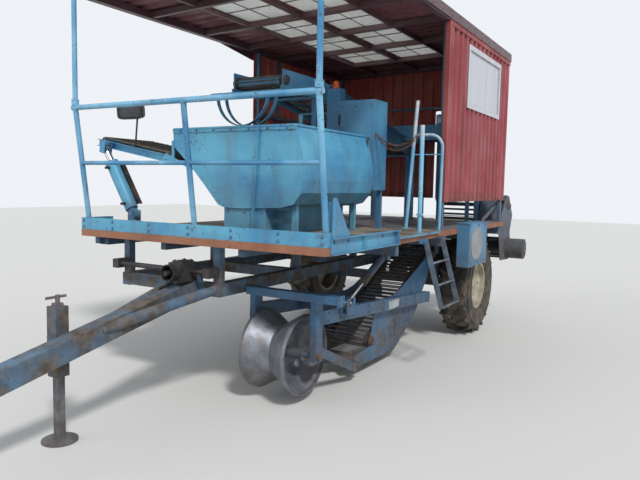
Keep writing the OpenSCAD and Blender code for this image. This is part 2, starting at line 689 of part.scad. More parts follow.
module picking_table() color(blue) home() {
    low_y = cross_y0 - 30;
    for (x = [tab_x0 - 8, tab_x1])
        side_plate(x, 8, [[head_y - 50, head_z - 90], [head_y - 50, head_z + 90], [bend_y, head_z + 90],
            [low_y, tab_z(low_y) + 90], [low_y, tab_z(low_y) + 52], [tail_y + 60, tab_z(tail_y + 60) + 52],
            [tail_y + 60, tab_z(tail_y + 60) - 90], [bend_y - 18, head_z - 90]]);
    for (x = [tab_x0 - 57, tab_x1 + 5])
        beam_yz(x, 52, bend_y + 120, tab_z(bend_y + 120) + 84, low_y - 20, tab_z(low_y - 20) + 84, 8);
    for (y = [2260, 3150, tail_y - 110], x = [tab_x0, tab_x1 - 50]) {
        bx(x, x + 50, y, y + 50, deck_z, tab_z(y + 25) - 74);
        bx(x - 20, x + 70, y - 20, y + 70, deck_z, deck_z + 8);
    }
    front_y = hop_y0 + hop_l + 32;
    bx(tab_x1 - 50, tab_x1, front_y, front_y + 50, deck_z, head_z - 74);
    bx(tab_x1 - 70, tab_x1 + 20, front_y - 20, front_y + 70, deck_z, deck_z + 8);
    for (y = [front_y, 2260, 3150, tail_y - 110])
        bx(tab_x0 - 4, tab_x1 + 4, y + 5, y + 45, tab_z(y + 25) - 92, tab_z(y + 25) - 68);
    for (p = [[tail_y, table_z], [bend_y, head_z], [head_y, head_z]]) {
        barx(tab_x0 - 12, tab_x1 + 12, p[0], p[1], 16);
        barx(tab_x0 + 8, tab_x1 - 8, p[0], p[1], tab_r - 8.2);
    }
}

// Outline of the table's belt, from the bend to both ends.
module bent_belt(r) {
    translate([-flat_l, -r]) square([flat_l, 2 * r]);
    for (x = [-flat_l, 0]) translate([x, 0]) circle(r + 0.5);
    rotate(-tab_a) {
        translate([0, -r]) square([slope_l, 2 * r]);
        translate([slope_l, 0]) circle(r + 0.5);
    }
}
module table_rod(along, side, turn) {
    translate([4, along, side]) rotate([45 + turn, 0, 0])
        translate([0, -bar_d / 2, -bar_d / 2]) cube([tab_x1 - tab_x0 - 20, bar_d, bar_d]);
}
module picking_web() color(dark) home() {
    belt = 30;
    table_pitch = 80;
    translate([tab_x0 + 6, bend_y, head_z]) {
        for (x = [0, tab_x1 - tab_x0 - 12 - belt]) translate([x, 0, 0]) rotate([90, 0, 90]) linear_extrude(belt)
            difference() {
                bent_belt(tab_r + 4);
                bent_belt(tab_r - 8);
            }
        for (y = [-flat_l : table_pitch : -30], s = [-1, 1]) table_rod(y, s * tab_r, 0);
        for (t = [-135, -180, -225]) table_rod(-flat_l + tab_r * cos(t), tab_r * sin(t), t);
        rotate([-tab_a, 0, 0]) {
            for (y = [30 : table_pitch : slope_l - 10], s = [-1, 1]) table_rod(y, s * tab_r, 0);
            for (t = [-50, -5, 40]) table_rod(slope_l + tab_r * cos(t), tab_r * sin(t), t);
        }
    }
}

module fall_straps() color(blue) home() {
    // Two bent flat straps under the table's head, on a round-ended tube frame.
    y = head_y - 195;
    wide = 120;
    for (k = [0, wide]) {
        barx(-640, 100, y + k, 2432, 13);
        translate([-306, y + k + 20, 2428]) rotate([90, 0, 0]) linear_extrude(40) difference() {
            intersection() {
                circle(284, $fn = 96);
                translate([-300, -300]) square([600, 300]);
            }
            circle(276, $fn = 96);
        }
    }
    translate([-640, y + wide / 2, 2432]) intersection() {
        rotate_extrude() translate([wide / 2, 0]) circle(13);
        translate([-200, -200, -50]) cube([200, 400, 100]);
    }
    for (x = [tab_x0 - 8, tab_x1]) bx(x, x + 8, y + wide, head_y - 50, 2424, 2500);
}

// Cross conveyor that fills the table's tail from the rear elevator.
cross_y0 = platform_l - 440;
cross_y1 = platform_l - 40;
cross_x0 = -140;
cross_x1 = web_x1 + 80;
cross_r = 40;
cross_z = tab_z(cross_y0) + 122;
module filling_conveyor() color(blue) home() {
    for (y = [cross_y0, cross_y1 - 8]) bx(cross_x0, cross_x1, y, y + 8, cross_z - 57, cross_z + 130);
    bx(cross_x1 - 8, cross_x1, cross_y0, cross_y1, cross_z - 57, cross_z + 130);
    for (x = [cross_x0 + 50, cross_x1 - 60]) {
        bary(x, cross_y0 - 8, cross_y1 + 4, cross_z, 16);
        bary(x, cross_y0 + 14, cross_y1 - 14, cross_z, cross_r - 8.2);
    }
    for (y = [cross_y0, cross_y1 - 45], x = [100, cross_x1 - 40]) {
        bx(x, x + 40, y, y + 40, deck_z, cross_z - 52);
        bx(x - 15, x + 55, y - 15, y + (y > cross_y0 ? 42 : 55), deck_z, deck_z + 8);
    }
    for (x = [100, cross_x1 - 40]) bx(x, x + 40, cross_y0 + 2, cross_y1 - 10, cross_z - 82, cross_z - 54);
}

module filling_web() color(dark) home()
    translate([cross_x1 - 60, 0, 0]) rotate([0, 0, 90])
        rod_web(cross_y0 + 12, cross_y1 - 12, 0, cross_z, cross_x1 - cross_x0 - 110, 0, cross_r, 74);

// Lower webs on the frame
sw_y0 = digp_y;
sw_z0 = digp_z - 215;
sw_y1 = platform_l;
sw_z1 = 1000;
sw_a = atan2(sw_z1 - sw_z0, sw_y1 - sw_y0);
sw_l = norm([sw_y1 - sw_y0, sw_z1 - sw_z0]);
module second_web_frame() color(blue) home() {
    for (x = [web_x0 - 14, web_x1 + 8])
        side_plate(x, 6, [[sw_y0 - 70, sw_z0 - 60], [sw_y0 - 70, sw_z0 + 50], [sw_y0 + 120, sw_z0 + 120],
            [sw_y1 - 220, sw_z1 + 60], [sw_y1 + 55, sw_z1 + 60], [sw_y1 + 55, sw_z1 - 70], [sw_y0 + 60, sw_z0 - 90]]);
    web_shafts(web_x0 - 20, web_x1 + 20, sw_y0, sw_z0, sw_l, sw_a, 56);
    for (t = [0.3, 0.75]) translate([0, sw_y0 + t * (sw_y1 - sw_y0), sw_z0 + t * (sw_z1 - sw_z0)]) {
        bx(web_x0 - 14, web_x1 + 14, -20, 20, -20, 20);
        bx(frame_xl + 40, web_x0 - 8, -20, 20, t < 0.5 ? -20 : -78, 20);
    }
}
module second_web() color(dark) home()
    rod_web(web_x0, web_x1, sw_y0, sw_z0, sw_l, sw_a, 56, bar_pitch);

re_y0 = platform_l + 220;
re_z0 = 860;
re_y1 = platform_l + 120;
re_z1 = cross_z + 150;
gate_z = re_z1 + 190;
re_a = atan2(re_z1 - re_z0, re_y1 - re_y0);
re_l = norm([re_y1 - re_y0, re_z1 - re_z0]);
module rear_elevator() color(blue) home() {
    front = platform_l + 3;
    for (x = [web_x0 - 34, web_x1 + 28])
        side_plate(x, 6, [[re_y0 - 90, re_z0 - 90], [re_y0 + 150, re_z0 - 90], [re_y0 + 160, re_z0 + 200],
            [re_y1 + 150, re_z1 + 110], [re_y1 - 60, re_z1 + 165], [front - 60, re_z1 + 140],
            [front - 60, re_z1 - 18], [front, re_z1 - 18], [front, 1500], [front + 52, 1450], [front + 52, 1100],
            [re_y0 - 90, 1100]]);
    web_shafts(web_x0 - 36, web_x1 + 36, re_y0, re_z0, re_l, re_a, 56);
    for (k = [0 : 2]) bx(web_x0 - 34, web_x1 + 34, re_y0 + 110 - 32 * k, re_y0 + 140 - 32 * k, re_z0 - 80 + 630 * k, re_z0 - 40 + 630 * k);
    bx(web_x0 - 34, web_x1 + 34, re_y1 - 55, re_y1 - 25, re_z1 + 130, re_z1 + 160);
    // Lip over the cross conveyor.
    side_plate(web_x0 - 30, web_w + 60, [[front, re_z1 - 10], [front, re_z1 - 5], [front - 58, re_z1 - 12],
        [front - 58, re_z1 - 17]]);
    bx(frame_xl - 20, web_x0 - 34, platform_l - 10, platform_l + 160, frame_z0 + 10, frame_z1 - 10);
    bx(web_x0 - 64, web_x0 - 34, platform_l - 20, platform_l + 80, sub_z + 20, deck_z - deck_t);
    bx(web_x1 + 34, web_x1 + 50, platform_l - 20, platform_l + 80, sub_z + 20, deck_z - deck_t);
}
module rear_web() color(dark) home() {
    rod_web(web_x0 - 22, web_x1 + 22, re_y0, re_z0, re_l, re_a, 56, bar_pitch);
    translate([0, re_y0, re_z0]) rotate([re_a, 0, 0])
        for (i = [0 : 8]) for (s = [-1, 1])
            translate([web_x0 - 2, 90 + i * 155, s * 56 - (s < 0 ? 50 : 0)]) cube([web_w + 4, 6, 50]);
}

module wheel_guards() color(blue) home() {
    // Lidded boxes hung on the platform's edge in front of the wheels, open below.
    box = [half + 1, half + 126, 2590, 3190, 850, 1286];
    for (s = [-1, 1]) mirror([s < 0 ? 1 : 0, 0, 0]) {
        difference() {
            bx(box[0], box[1], box[2], box[3], box[4], box[5]);
            bx(box[0] + 5, box[1] - 5, box[2] + 5, box[3] - 5, box[4] - 1, box[5] - 5);
        }
        bx(box[0], box[1] + 6, box[2] - 6, box[3] + 6, box[5] - 1, box[5] + 5);
    }
    ladder_brackets();
}

module haulm_roller() color(steel) home() translate([0, platform_l, 0]) {
    // Rear drum and chute that throw out the haulm; the drum's drive sticks out on the left.
    x0 = web_x1 + 50;
    x1 = half - 40;
    drum = [440, 870];
    for (x = [x0, x1 - 6]) side_plate(x, 6, [[-20, 1090], [-20, 1200], [2, 1200], [2, 1240], [80, 1330], [280, 1560],
        [420, 1540], [620, 1290], [520, 1080], [590, 900], [500, 720], [90, 740]]);
    barx(x0 - 4, x1 + 4, drum[0], drum[1], 20);
    barx(x0 + 12, x1 - 12, drum[0], drum[1], 118);
    for (i = [0 : 7]) translate([x0 + 14, drum[0], drum[1]]) rotate([i * 45, 0, 0])
        bx(0, x1 - x0 - 28, -4, 4, 110, 136);
    barx(x1 - 1, half + 170, drum[0], drum[1], 128);
    barx(half + 165, half + 180, drum[0], drum[1], 60);
    barx(x0 - 4, x1 + 4, 390, 1420, 18);
    barx(x0 + 12, x1 - 12, 390, 1420, 70);
    side_plate(x0 + 2, x1 - x0 - 4, [[60, 1240], [300, 1556], [308, 1550], [68, 1234]]);
    side_plate(x0 + 2, x1 - x0 - 4, [[430, 1100], [614, 1288], [619, 1282], [434, 1092]]);
    // Brace that comes up from the deck inside the left wall.
    beam_yz(x1 - 46, 10, -640, 1262, 230, 1530, 50);
    bx(x1 - 52, x1 - 30, -660, -590, deck_z, 1262);
    bx(x1 - 46, x1 - 3, 190, 230, 1490, 1530);
}

// Wheels
module tyre(x) {
    w = tyre_w / 2;
    b = tyre_r - lug_h;
    translate([x, axle_y, tyre_r]) rotate([0, 90, 0]) {
        rotate_extrude($fn = 64) polygon([[rim_r + 1, -w * 0.62], [rim_r + 12, -w * 0.8], [rim_r + 70, -w * 0.97],
            [b - 60, -w * 0.96], [b - 14, -w * 0.84], [b, -w * 0.6], [b, w * 0.6], [b - 14, w * 0.84],
            [b - 60, w * 0.96], [rim_r + 70, w * 0.97], [rim_r + 12, w * 0.8], [rim_r + 1, w * 0.62]]);
        for (i = [0 : 19], s = [-1, 1]) rotate([0, 0, i * 18 + (s > 0 ? 9 : 0)])
            translate([b - 12, 0, s * w * 0.48]) rotate([s * 38, 0, 0]) translate([0, -16, -w * 0.46])
                cube([lug_h + 9, 32, w * 0.92]);
    }
}
module rim(x, s) {
    w = tyre_w / 2;
    translate([x, axle_y, tyre_r]) rotate([0, 90 * s, 0]) {
        difference() {
            union() {
                rotate_extrude($fn = 56) polygon([[rim_r - 14, -w * 0.8], [rim_r + 10, -w * 0.8], [rim_r, -w * 0.62],
                    [rim_r, w * 0.62], [rim_r + 10, w * 0.8], [rim_r - 14, w * 0.8], [rim_r - 14, w * 0.5],
                    [rim_r - 70, w * 0.1], [100, -10], [100, -22], [rim_r - 64, w * 0.1 - 14],
                    [rim_r - 26, w * 0.3], [rim_r - 14, w * 0.3]]);
                rotate_extrude() polygon([[spin_r + run, -80], [hub_r, -80], [hub_r, -24], [112, -24], [112, -8],
                    [hub_r, -8], [hub_r - 8, 70], [0, 70], [0, 62], [spin_r + run, 62]]);
            }
        }
        for (i = [0 : 5]) rotate([0, 0, i * 60]) translate([88, 0, -10]) cylinder(h = 22, r = 12, $fn = 6);
    }
}
module tyre_left() color(rubber_c) home() tyre(track_w / 2);
module tyre_right() color(rubber_c) home() tyre(-track_w / 2);
module rim_left() color("#b9b3a0") home() rim(track_w / 2, 1);
module rim_right() color("#b9b3a0") home() rim(-track_w / 2, -1);

// Digging unit
dw_y0 = 1470;
dw_z0 = 275;
dw_y1 = digp_y - 90;
dw_z1 = digp_z - 15;
dw_a = atan2(dw_z1 - dw_z0, dw_y1 - dw_y0);
dw_l = norm([dw_y1 - dw_y0, dw_z1 - dw_z0]);
share_y = 1130;
arm_y1 = 2740;
function arm_z(y) = 655 - 0.072 * (y - 500);
module dig_frame() color("#3f5f78") home() {
    xl = web_x0 - 12;
    xr = web_x1 + 6;
    for (x = [xl, xr]) difference() {
        // Web side plate, with its eye on the pivot shaft and its toe beside the share.
        side_plate(x, 6, [[share_y + 20, 112], [share_y + 250, 96], [1990, 90], [2470, 336], [2800, 700], [2890, 860],
            [digp_y + 45, digp_z - 45], [digp_y + 45, digp_z + 62], [2640, 862], [2070, 650], [1780, 600], [1560, 592],
            [1440, 230], [share_y + 30, 205]]);
        barx(x - 1, x + 7, digp_y, digp_z, 16 + run);
    }
    for (x = [xl - 60, xr + 6]) {
        // Side arm from the yoke back along the web plate.
        beam_yz(x > xr ? x - 2 : x + 2, 60, roller_y - 30, arm_z(roller_y - 30), arm_y1, arm_z(arm_y1), 106);
        // Roller post up to the yoke, and the strut down to the share.
        bx(x + 5, x + 55, roller_y - 32, roller_y + 64, roller_z - 45, yoke_z + 10);
        beam_yz(x + 12, 36, roller_y + 20, roller_z + 40, share_y, 118, 72);
        bx(x > xr ? xr + 5 : x + 16, x > xr ? x + 44 : xl + 1, share_y - 10, share_y + 70, 112, 160);
    }
    // Yoke across the roller, with its flanged end.
    bx(xl - 60, yoke_x1, roller_y - 80, roller_y - 10, yoke_z, yoke_z + 60);
    bx(yoke_x1 - 1, yoke_x1 + 11, roller_y - 92, roller_y + 2, yoke_z - 14, yoke_z + 64);
    bx(xl - 50, xr + 56, 1040, 1100, arm_z(1070) - 26, arm_z(1070) + 26);
    // Dead axle of the roller.
    barx(xl - 58, xr + 64, roller_y, roller_z, 20);
    web_shafts(xl - 2, xr + 8, dw_y0, dw_z0, dw_l, dw_a, 52);
    // Slotted lugs for the lift ram.
    lug_z = arm_z(dram_by) + 6;
    for (x = [dram_x - 34, dram_x + 24]) difference() {
        bx(x, x + 10, dram_by - 55, dram_by + 75, lug_z, dram_bz + 34);
        translate([x - 1, dram_by, dram_bz]) rotate([dram_a + 180, 0, 0])
            rotate([90, 0, 90]) linear_extrude(12) translate([-22, 0]) stadium(44, 22);
    }
    bx(xr + 60, dram_x + 34, dram_by - 55, dram_by + 75, lug_z, lug_z + 12);
}
yoke_x1 = 1050;
yoke_z = 790;

module dig_web() color(dark) home()
    rod_web(web_x0, web_x1, dw_y0, dw_z0, dw_l, dw_a, 52, bar_pitch);

module share() color(steel) home() {
    // Trough share with three points in front of the web.
    w = web_w;
    translate([web_x0, share_y, 104]) rotate([12, 0, 0]) linear_extrude(12)
        polygon([[0, 90], [60, 0], [150, 80], [w / 2, -20], [w - 150, 80], [w - 60, 0], [w, 90], [w, 250], [0, 250]]);
    for (x = [web_x0 - 6, web_x1]) side_plate(x, 6, [[share_y + 30, 118], [share_y + 240, 110], [share_y + 240, 200],
        [share_y + 60, 150]]);
}

module ridge_roller() color("#6f7681") home() {
    h = roller_l / 2;
    translate([row_x, roller_y, roller_z]) rotate([0, 90, 0]) {
        rotate_extrude($fn = 64) polygon([[roller_r - 10, -h], [roller_r, -h], [roller_r, -h + 26], [waist_r, -4],
            [waist_r, 4], [roller_r, h - 26], [roller_r, h], [roller_r - 10, h], [roller_r - 12, h - 30],
            [waist_r - 10, 3], [44, 7], [44, h - 20], [20 + run, h - 20], [20 + run, -h + 20], [44, -h + 20],
            [44, -7], [waist_r - 10, -3], [roller_r - 12, -h + 30]]);
    }
}

// Rams
module ram_barrel(l, d, pin_r, eye_w) {
    // Along +X from its base eye.
    difference() {
        union() {
            rotate([90, 0, 0]) translate([0, 0, -eye_w / 2]) cylinder(h = eye_w, r = d * 0.42);
            translate([0, -d * 0.3, -d * 0.3]) cube([d * 0.6, d * 0.6, d * 0.6]);
            translate([d * 0.5, 0, 0]) rotate([0, 90, 0]) difference() {
                cylinder(h = l, r = d / 2);
                translate([0, 0, d * 0.4]) cylinder(h = l, r = d / 2 - 8);
            }
            translate([d * 0.5 + l - 34, 0, 0]) rotate([0, 90, 0]) difference() {
                cylinder(h = 34, r = d / 2 + 5);
                translate([0, 0, -1]) cylinder(h = 36, r = ram_gap(d));
            }
        }
        rotate([90, 0, 0]) cylinder(h = eye_w + 2, r = pin_r + run, center = true);
    }
}
function ram_gap(d) = d > 80 ? rod_d / 2 + 0.4 : 15.4;

module elevator_ram_barrel() color(blue) home() {
    translate([ram_bx, ram_y, ram_bz]) rotate([0, -ram_a, 0]) ram_barrel(485, ram_d, 16, 60);
    bary(ram_bx, ram_y - 50, ram_y + 50, ram_bz, 16);
}
module ram_prop() color(dark) home() translate([ram_bx, ram_y, ram_bz]) rotate([0, -ram_a, 0]) {
    // Channel that lies along the barrel's rear side and props the raised elevator.
    back = ram_d / 2 + 0.3;
    translate([85, back, -42]) cube([412, 6, 84]);
    for (z = [-42, 36]) translate([85, back + 1, z]) cube([412, 50, 6]);
}
module elevator_ram_rod() color("#c8ccd0") home() {
    translate([ram_bx, ram_y, ram_bz]) rotate([0, -ram_a, 0]) difference() {
        union() {
            translate([230, 0, 0]) rotate([0, 90, 0]) cylinder(h = ram_l - 230 - 20, r = rod_d / 2);
            translate([190, 0, 0]) rotate([0, 90, 0]) cylinder(h = 40, r = ram_d / 2 - 8.6);
            translate([ram_l, 0, 0]) rotate([90, 0, 0]) cylinder(h = 60, r = 42, center = true);
        }
        translate([ram_l, 0, 0]) rotate([90, 0, 0]) cylinder(h = 70, r = 24, center = true);
    }
}
module dig_ram_barrel() color(blue) home() {
    translate([dram_x, dram_ty, dram_tz]) rotate([0, 0, 90]) rotate([0, -dram_a, 0]) ram_barrel(400, 64, 15, 76);
    barx(dram_x - 52, dram_x + 52, dram_ty, dram_tz, 15);
}
module dig_ram_rod() color("#c8ccd0") home() {
    translate([dram_x, dram_ty, dram_tz]) rotate([0, 0, 90]) rotate([0, -dram_a, 0]) {
        translate([300, 0, 0]) rotate([0, 90, 0]) cylinder(h = dram_l - 300, r = 15);
        translate([270, 0, 0]) rotate([0, 90, 0]) cylinder(h = 30, r = 64 / 2 - 8.6);
        translate([dram_l, 0, 0]) rotate([90, 0, 0]) cylinder(h = 40, r = 26, center = true);
        translate([dram_l, 0, 0]) rotate([90, 0, 0]) cylinder(h = 68, r = 12, center = true);
    }
}

// Discharge elevator
module on_elevator() { translate([hinge_x, 0, hinge_z]) rotate([0, elev_a, 0]) mirror([1, 0, 0]) children(); }
module elevator_frame() color(blue) home() on_elevator() {
    for (y = [elev_y0, elev_y1 - 8]) difference() {
        translate([-40, y, -elev_h / 2]) cube([elev_l + 40, 8, elev_h]);
        translate([0, y - 1, 0]) rotate([-90, 0, 0]) cylinder(h = 10, r = 15 + run);
    }
    for (y = [elev_y0 - 24, elev_y1], z = [-elev_h / 2, elev_h / 2 - 6])
        translate([y < elev_y1 - 30 ? 60 : 60, y, z]) cube([elev_l - 60, 24, 6]);
    for (s = [0.12, 0.5, 0.9]) translate([s * elev_l, elev_y0, -elev_h / 2 - 1]) cube([30, elev_w, 10]);
    for (s = [40, elev_l - 50]) {
        translate([s, elev_y0 - 2, 22]) rotate([-90, 0, 0]) cylinder(h = elev_w + 4, r = 7);
        translate([s, elev_y0 + 14, 22]) rotate([-90, 0, 0]) cylinder(h = elev_w - 28, r = 22.8);
    }
    // Lugs for the ram and the lamp's socket.
    for (y = [ram_y - 44, ram_y + 36]) translate([ram_s - 32, y, -74]) cube([64, 8, 74 + elev_h / 2]);
    translate([ram_s, ram_y - 44, -40]) rotate([-90, 0, 0]) cylinder(h = 88, r = 12);
    translate([ram_s - 32, ram_y - 44, elev_h / 2 - 8]) cube([64, elev_y0 - ram_y + 46, 8]);
}
module elevator_web() color(dark) home() on_elevator()
    translate([40, 0, 22]) rotate([0, 0, -90]) mirror([1, 0, 0])
        rod_web(elev_y0 + 12, elev_y1 - 12, 0, 0, elev_l - 90, 0, 31, 66);

module work_lamp() color(dark) home() on_elevator()
    // Housing on a thin bent stalk.
    translate([402, elev_y0 - 12, elev_h / 2]) {
        translate([-18, -12, 0]) cube([36, 24, 8]);
        rotate([0, elev_a - 6, 0]) {
            translate([0, 0, 4]) cylinder(h = 256, r = 8);
            translate([70, 0, 312]) rotate([0, 8, -24]) {
                translate([-110, -45, -66]) cube([220, 90, 132]);
                translate([-118, -57, -74]) cube([236, 14, 148]);
                translate([-98, 40, -54]) cube([196, 16, 108]);
            }
        }
    }

main_frame();
drawbar();
jack_leg();
drive_line();
deck_planks();
rear_deck();
kick_board();
deck_edge();
front_railing();
side_channel();
entry_rails();
safety_chain();
ladder();
cabin_posts();
canopy_frame();
canopy_roof();
roof_lights();
left_wall();
side_window();
far_walls();
hopper_body();
hopper_web();
control_column();
filling_conveyor();
filling_web();
fall_straps();
picking_table();
picking_web();
second_web_frame();
second_web();
rear_elevator();
rear_web();
wheel_guards();
haulm_roller();
tyre_left();
tyre_right();
rim_left();
rim_right();
dig_frame();
dig_web();
share();
ridge_roller();
elevator_ram_barrel();
ram_prop();
elevator_ram_rod();
dig_ram_barrel();
dig_ram_rod();
elevator_frame();
elevator_web();
work_lamp();
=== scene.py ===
"""The looks of a towed potato harvester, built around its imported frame.

Lengths are metres. The machine's own measures run from the middle of the deck's front edge:
x to the machine's left, y to its rear, z up from the ground.
"""
import math

import bmesh
import bpy
import numpy as np
from mathutils import Matrix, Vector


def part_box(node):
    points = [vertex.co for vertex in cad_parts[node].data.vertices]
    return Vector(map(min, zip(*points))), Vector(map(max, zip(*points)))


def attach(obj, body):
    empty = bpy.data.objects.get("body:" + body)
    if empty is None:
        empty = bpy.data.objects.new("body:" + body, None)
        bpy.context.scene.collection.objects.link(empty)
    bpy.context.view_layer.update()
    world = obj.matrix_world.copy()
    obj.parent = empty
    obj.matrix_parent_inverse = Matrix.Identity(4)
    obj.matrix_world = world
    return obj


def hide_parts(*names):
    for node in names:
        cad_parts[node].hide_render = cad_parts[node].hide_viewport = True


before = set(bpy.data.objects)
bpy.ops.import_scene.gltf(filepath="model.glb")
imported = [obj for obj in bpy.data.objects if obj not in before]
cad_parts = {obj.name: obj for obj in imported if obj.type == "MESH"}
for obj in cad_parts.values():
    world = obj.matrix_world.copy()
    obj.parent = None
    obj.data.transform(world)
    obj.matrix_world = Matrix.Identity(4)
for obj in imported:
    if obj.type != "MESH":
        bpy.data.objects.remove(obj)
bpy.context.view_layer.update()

# The picture. The camera stands in front of the machine and to its left, at head height, and looks
# a little down. The lens and the tilt come from lines of the platform and the roof. The kick board
# stands proud of the deck's front edge.
deck_low, deck_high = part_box("kick_board")
board_proud = 0.002
front_middle = np.array([(deck_low.x + deck_high.x) / 2, deck_low.y + board_proud, 0.0])
eye = front_middle + (3.126, -3.358, 1.636)
turn, tilt, roll = math.radians(30.78), math.radians(-5.08), math.radians(1.17)
camera = bpy.data.objects.new("camera", bpy.data.cameras.new("camera"))
camera.data.lens = 34.64
camera.data.clip_end = 200
camera.matrix_world = (
    Matrix.Translation(eye)
    @ Matrix.Rotation(turn, 4, "Z")
    @ Matrix.Rotation(math.pi / 2 + tilt, 4, "X")
    @ Matrix.Rotation(roll, 4, "Z")
)
bpy.context.scene.collection.objects.link(camera)
bpy.context.scene.camera = camera
bpy.context.scene.view_settings.view_transform = "Standard"

# The studio. A pale floor and a pale sky, a soft sun from the front left, and a weak lamp from the
# right that opens the shadows. None of it is part of the machine.
def put(socket, value):
    """Feeds a socket from another, or sets it to a number, a list or an opaque (red, green, blue)."""
    if isinstance(value, bpy.types.NodeSocket):
        socket.id_data.links.new(value, socket)
    else:
        socket.default_value = (*value, 1) if isinstance(value, tuple) else value


def worked(operation, first, second):
    """The result of a Math node on two numbers, kept between 0 and 1."""
    tree = (first if isinstance(first, bpy.types.NodeSocket) else second).id_data
    node = tree.nodes.new("ShaderNodeMath")
    node.operation = operation
    node.use_clamp = True
    put(node.inputs[0], first)
    put(node.inputs[1], second)
    return node.outputs[0]


world = bpy.data.worlds.new("sky")
bpy.context.scene.world = world
world.use_nodes = True
sky = world.node_tree
light_sky = sky.nodes["Background"]
put(light_sky.inputs["Color"], (0.86, 0.92, 1.0))
put(light_sky.inputs["Strength"], 0.62)
seen_sky = sky.nodes.new("ShaderNodeBackground")
put(seen_sky.inputs["Color"], (0.86, 0.89, 0.93))
ray = sky.nodes.new("ShaderNodeLightPath").outputs
seen = worked("MAXIMUM", ray["Is Camera Ray"], ray["Is Glossy Ray"])
seen = worked("MAXIMUM", seen, ray["Is Transmission Ray"])
which_sky = sky.nodes.new("ShaderNodeMixShader")
for number, socket in enumerate((seen, light_sky.outputs[0], seen_sky.outputs[0])):
    put(which_sky.inputs[number], socket)
put(sky.nodes["World Output"].inputs["Surface"], which_sky.outputs[0])


def add_sun(name, strength, softness, azimuth, height):
    """A sun whose light comes from an azimuth, measured from the machine's front toward its left."""
    lamp = bpy.data.objects.new(name, bpy.data.lights.new(name, "SUN"))
    lamp.data.energy = strength
    lamp.data.angle = math.radians(softness)
    lamp.matrix_world = Matrix.Rotation(math.radians(azimuth), 4, "Z") @ Matrix.Rotation(
        math.radians(90 - height), 4, "X"
    )
    bpy.context.scene.collection.objects.link(lamp)


add_sun("sun", strength=2.3, softness=8, azimuth=52, height=47)
add_sun("opening_lamp", strength=0.5, softness=40, azimuth=-40, height=25)

floor_size = 60.0
floor_mesh = bpy.data.meshes.new("floor")
corner = floor_size / 2
floor_mesh.from_pydata(
    [(-corner, -corner, 0), (corner, -corner, 0), (corner, corner, 0), (-corner, corner, 0)], [], [(0, 1, 2, 3)]
)
floor = bpy.data.objects.new("floor", floor_mesh)
bpy.context.scene.collection.objects.link(floor)
floor_finish = bpy.data.materials.new("pale_floor")
floor_finish.use_nodes = True
floor_inputs = floor_finish.node_tree.nodes["Principled BSDF"].inputs
put(floor_inputs["Base Color"], (0.62, 0.61, 0.58))
put(floor_inputs["Roughness"], 0.9)
floor_mesh.materials.append(floor_finish)


# Blue paint of the chassis and the platform. Old brushed enamel that has chalked in the sun, rusted
# where edges and welds wear through, and taken up soil, more of it near the ground.
soil = (0.075, 0.055, 0.038)
rust = (0.19, 0.072, 0.032)


def start_finish(name, roughness=0.5, metallic=0.0):
    """A new material: itself, its shader and the surface's own coordinates."""
    material = bpy.data.materials.new(name)
    material.use_nodes = True
    shader = material.node_tree.nodes["Principled BSDF"]
    put(shader.inputs["Roughness"], roughness)
    put(shader.inputs["Metallic"], metallic)
    return material, shader, material.node_tree.nodes.new("ShaderNodeTexCoord").outputs["Object"]


def spread(value, low, high, start=0.0, end=1.0):
    """Maps the range from low to high onto start to end, and stays there past both."""
    node = value.id_data.nodes.new("ShaderNodeMapRange")
    put(node.inputs["Value"], value)
    for key, number in (("From Min", low), ("From Max", high), ("To Min", start), ("To Max", end)):
        put(node.inputs[key], number)
    return node.outputs["Result"]


def clouds(place, scale, low=0.4, high=0.6, stretch=(1, 1, 1), detail=4.0, start=0.0, end=1.0):
    """Soft random patches: noise with so many to the metre, drawn out along the axes with a low stretch."""
    mapping = place.id_data.nodes.new("ShaderNodeMapping")
    put(mapping.inputs["Scale"], [scale * s for s in stretch])
    put(mapping.inputs["Vector"], place)
    node = place.id_data.nodes.new("ShaderNodeTexNoise")
    put(node.inputs["Scale"], 1.0)
    put(node.inputs["Detail"], detail)
    put(node.inputs["Vector"], mapping.outputs["Vector"])
    return spread(node.outputs["Fac"], low, high, start, end)


def mixed(share, first, second):
    """A colour between two others."""
    node = share.id_data.nodes.new("ShaderNodeMix")
    node.data_type = "RGBA"
    for socket, value in (("Factor", share), (6, first), (7, second)):
        put(node.inputs[socket], value)
    return node.outputs[2]


def reach_of(place, axis="Z"):
    """How far a point of the surface lies along an axis: along Z, its height above the ground."""
    split = place.id_data.nodes.new("ShaderNodeSeparateXYZ")
    put(split.inputs[0], place)
    return split.outputs[axis]


def worn_edges(shader, radius, low=0.06, high=0.3):
    """Where a rounded normal leaves the flat one, which is on outer and inner edges."""
    nodes = shader.id_data.nodes
    rounded = nodes.new("ShaderNodeBevel")
    rounded.samples = 4
    put(rounded.inputs["Radius"], radius)
    flat = nodes.new("ShaderNodeNewGeometry")
    dot = nodes.new("ShaderNodeVectorMath")
    dot.operation = "DOT_PRODUCT"
    put(dot.inputs[0], rounded.outputs["Normal"])
    put(dot.inputs[1], flat.outputs["Normal"])
    return spread(worked("SUBTRACT", 1.0, dot.outputs["Value"]), low, high)


def uneven(shader, height, depth):
    """A bump of so many metres on the shader."""
    node = shader.id_data.nodes.new("ShaderNodeBump")
    put(node.inputs["Distance"], depth)
    put(node.inputs["Height"], height)
    put(shader.inputs["Normal"], node.outputs["Normal"])


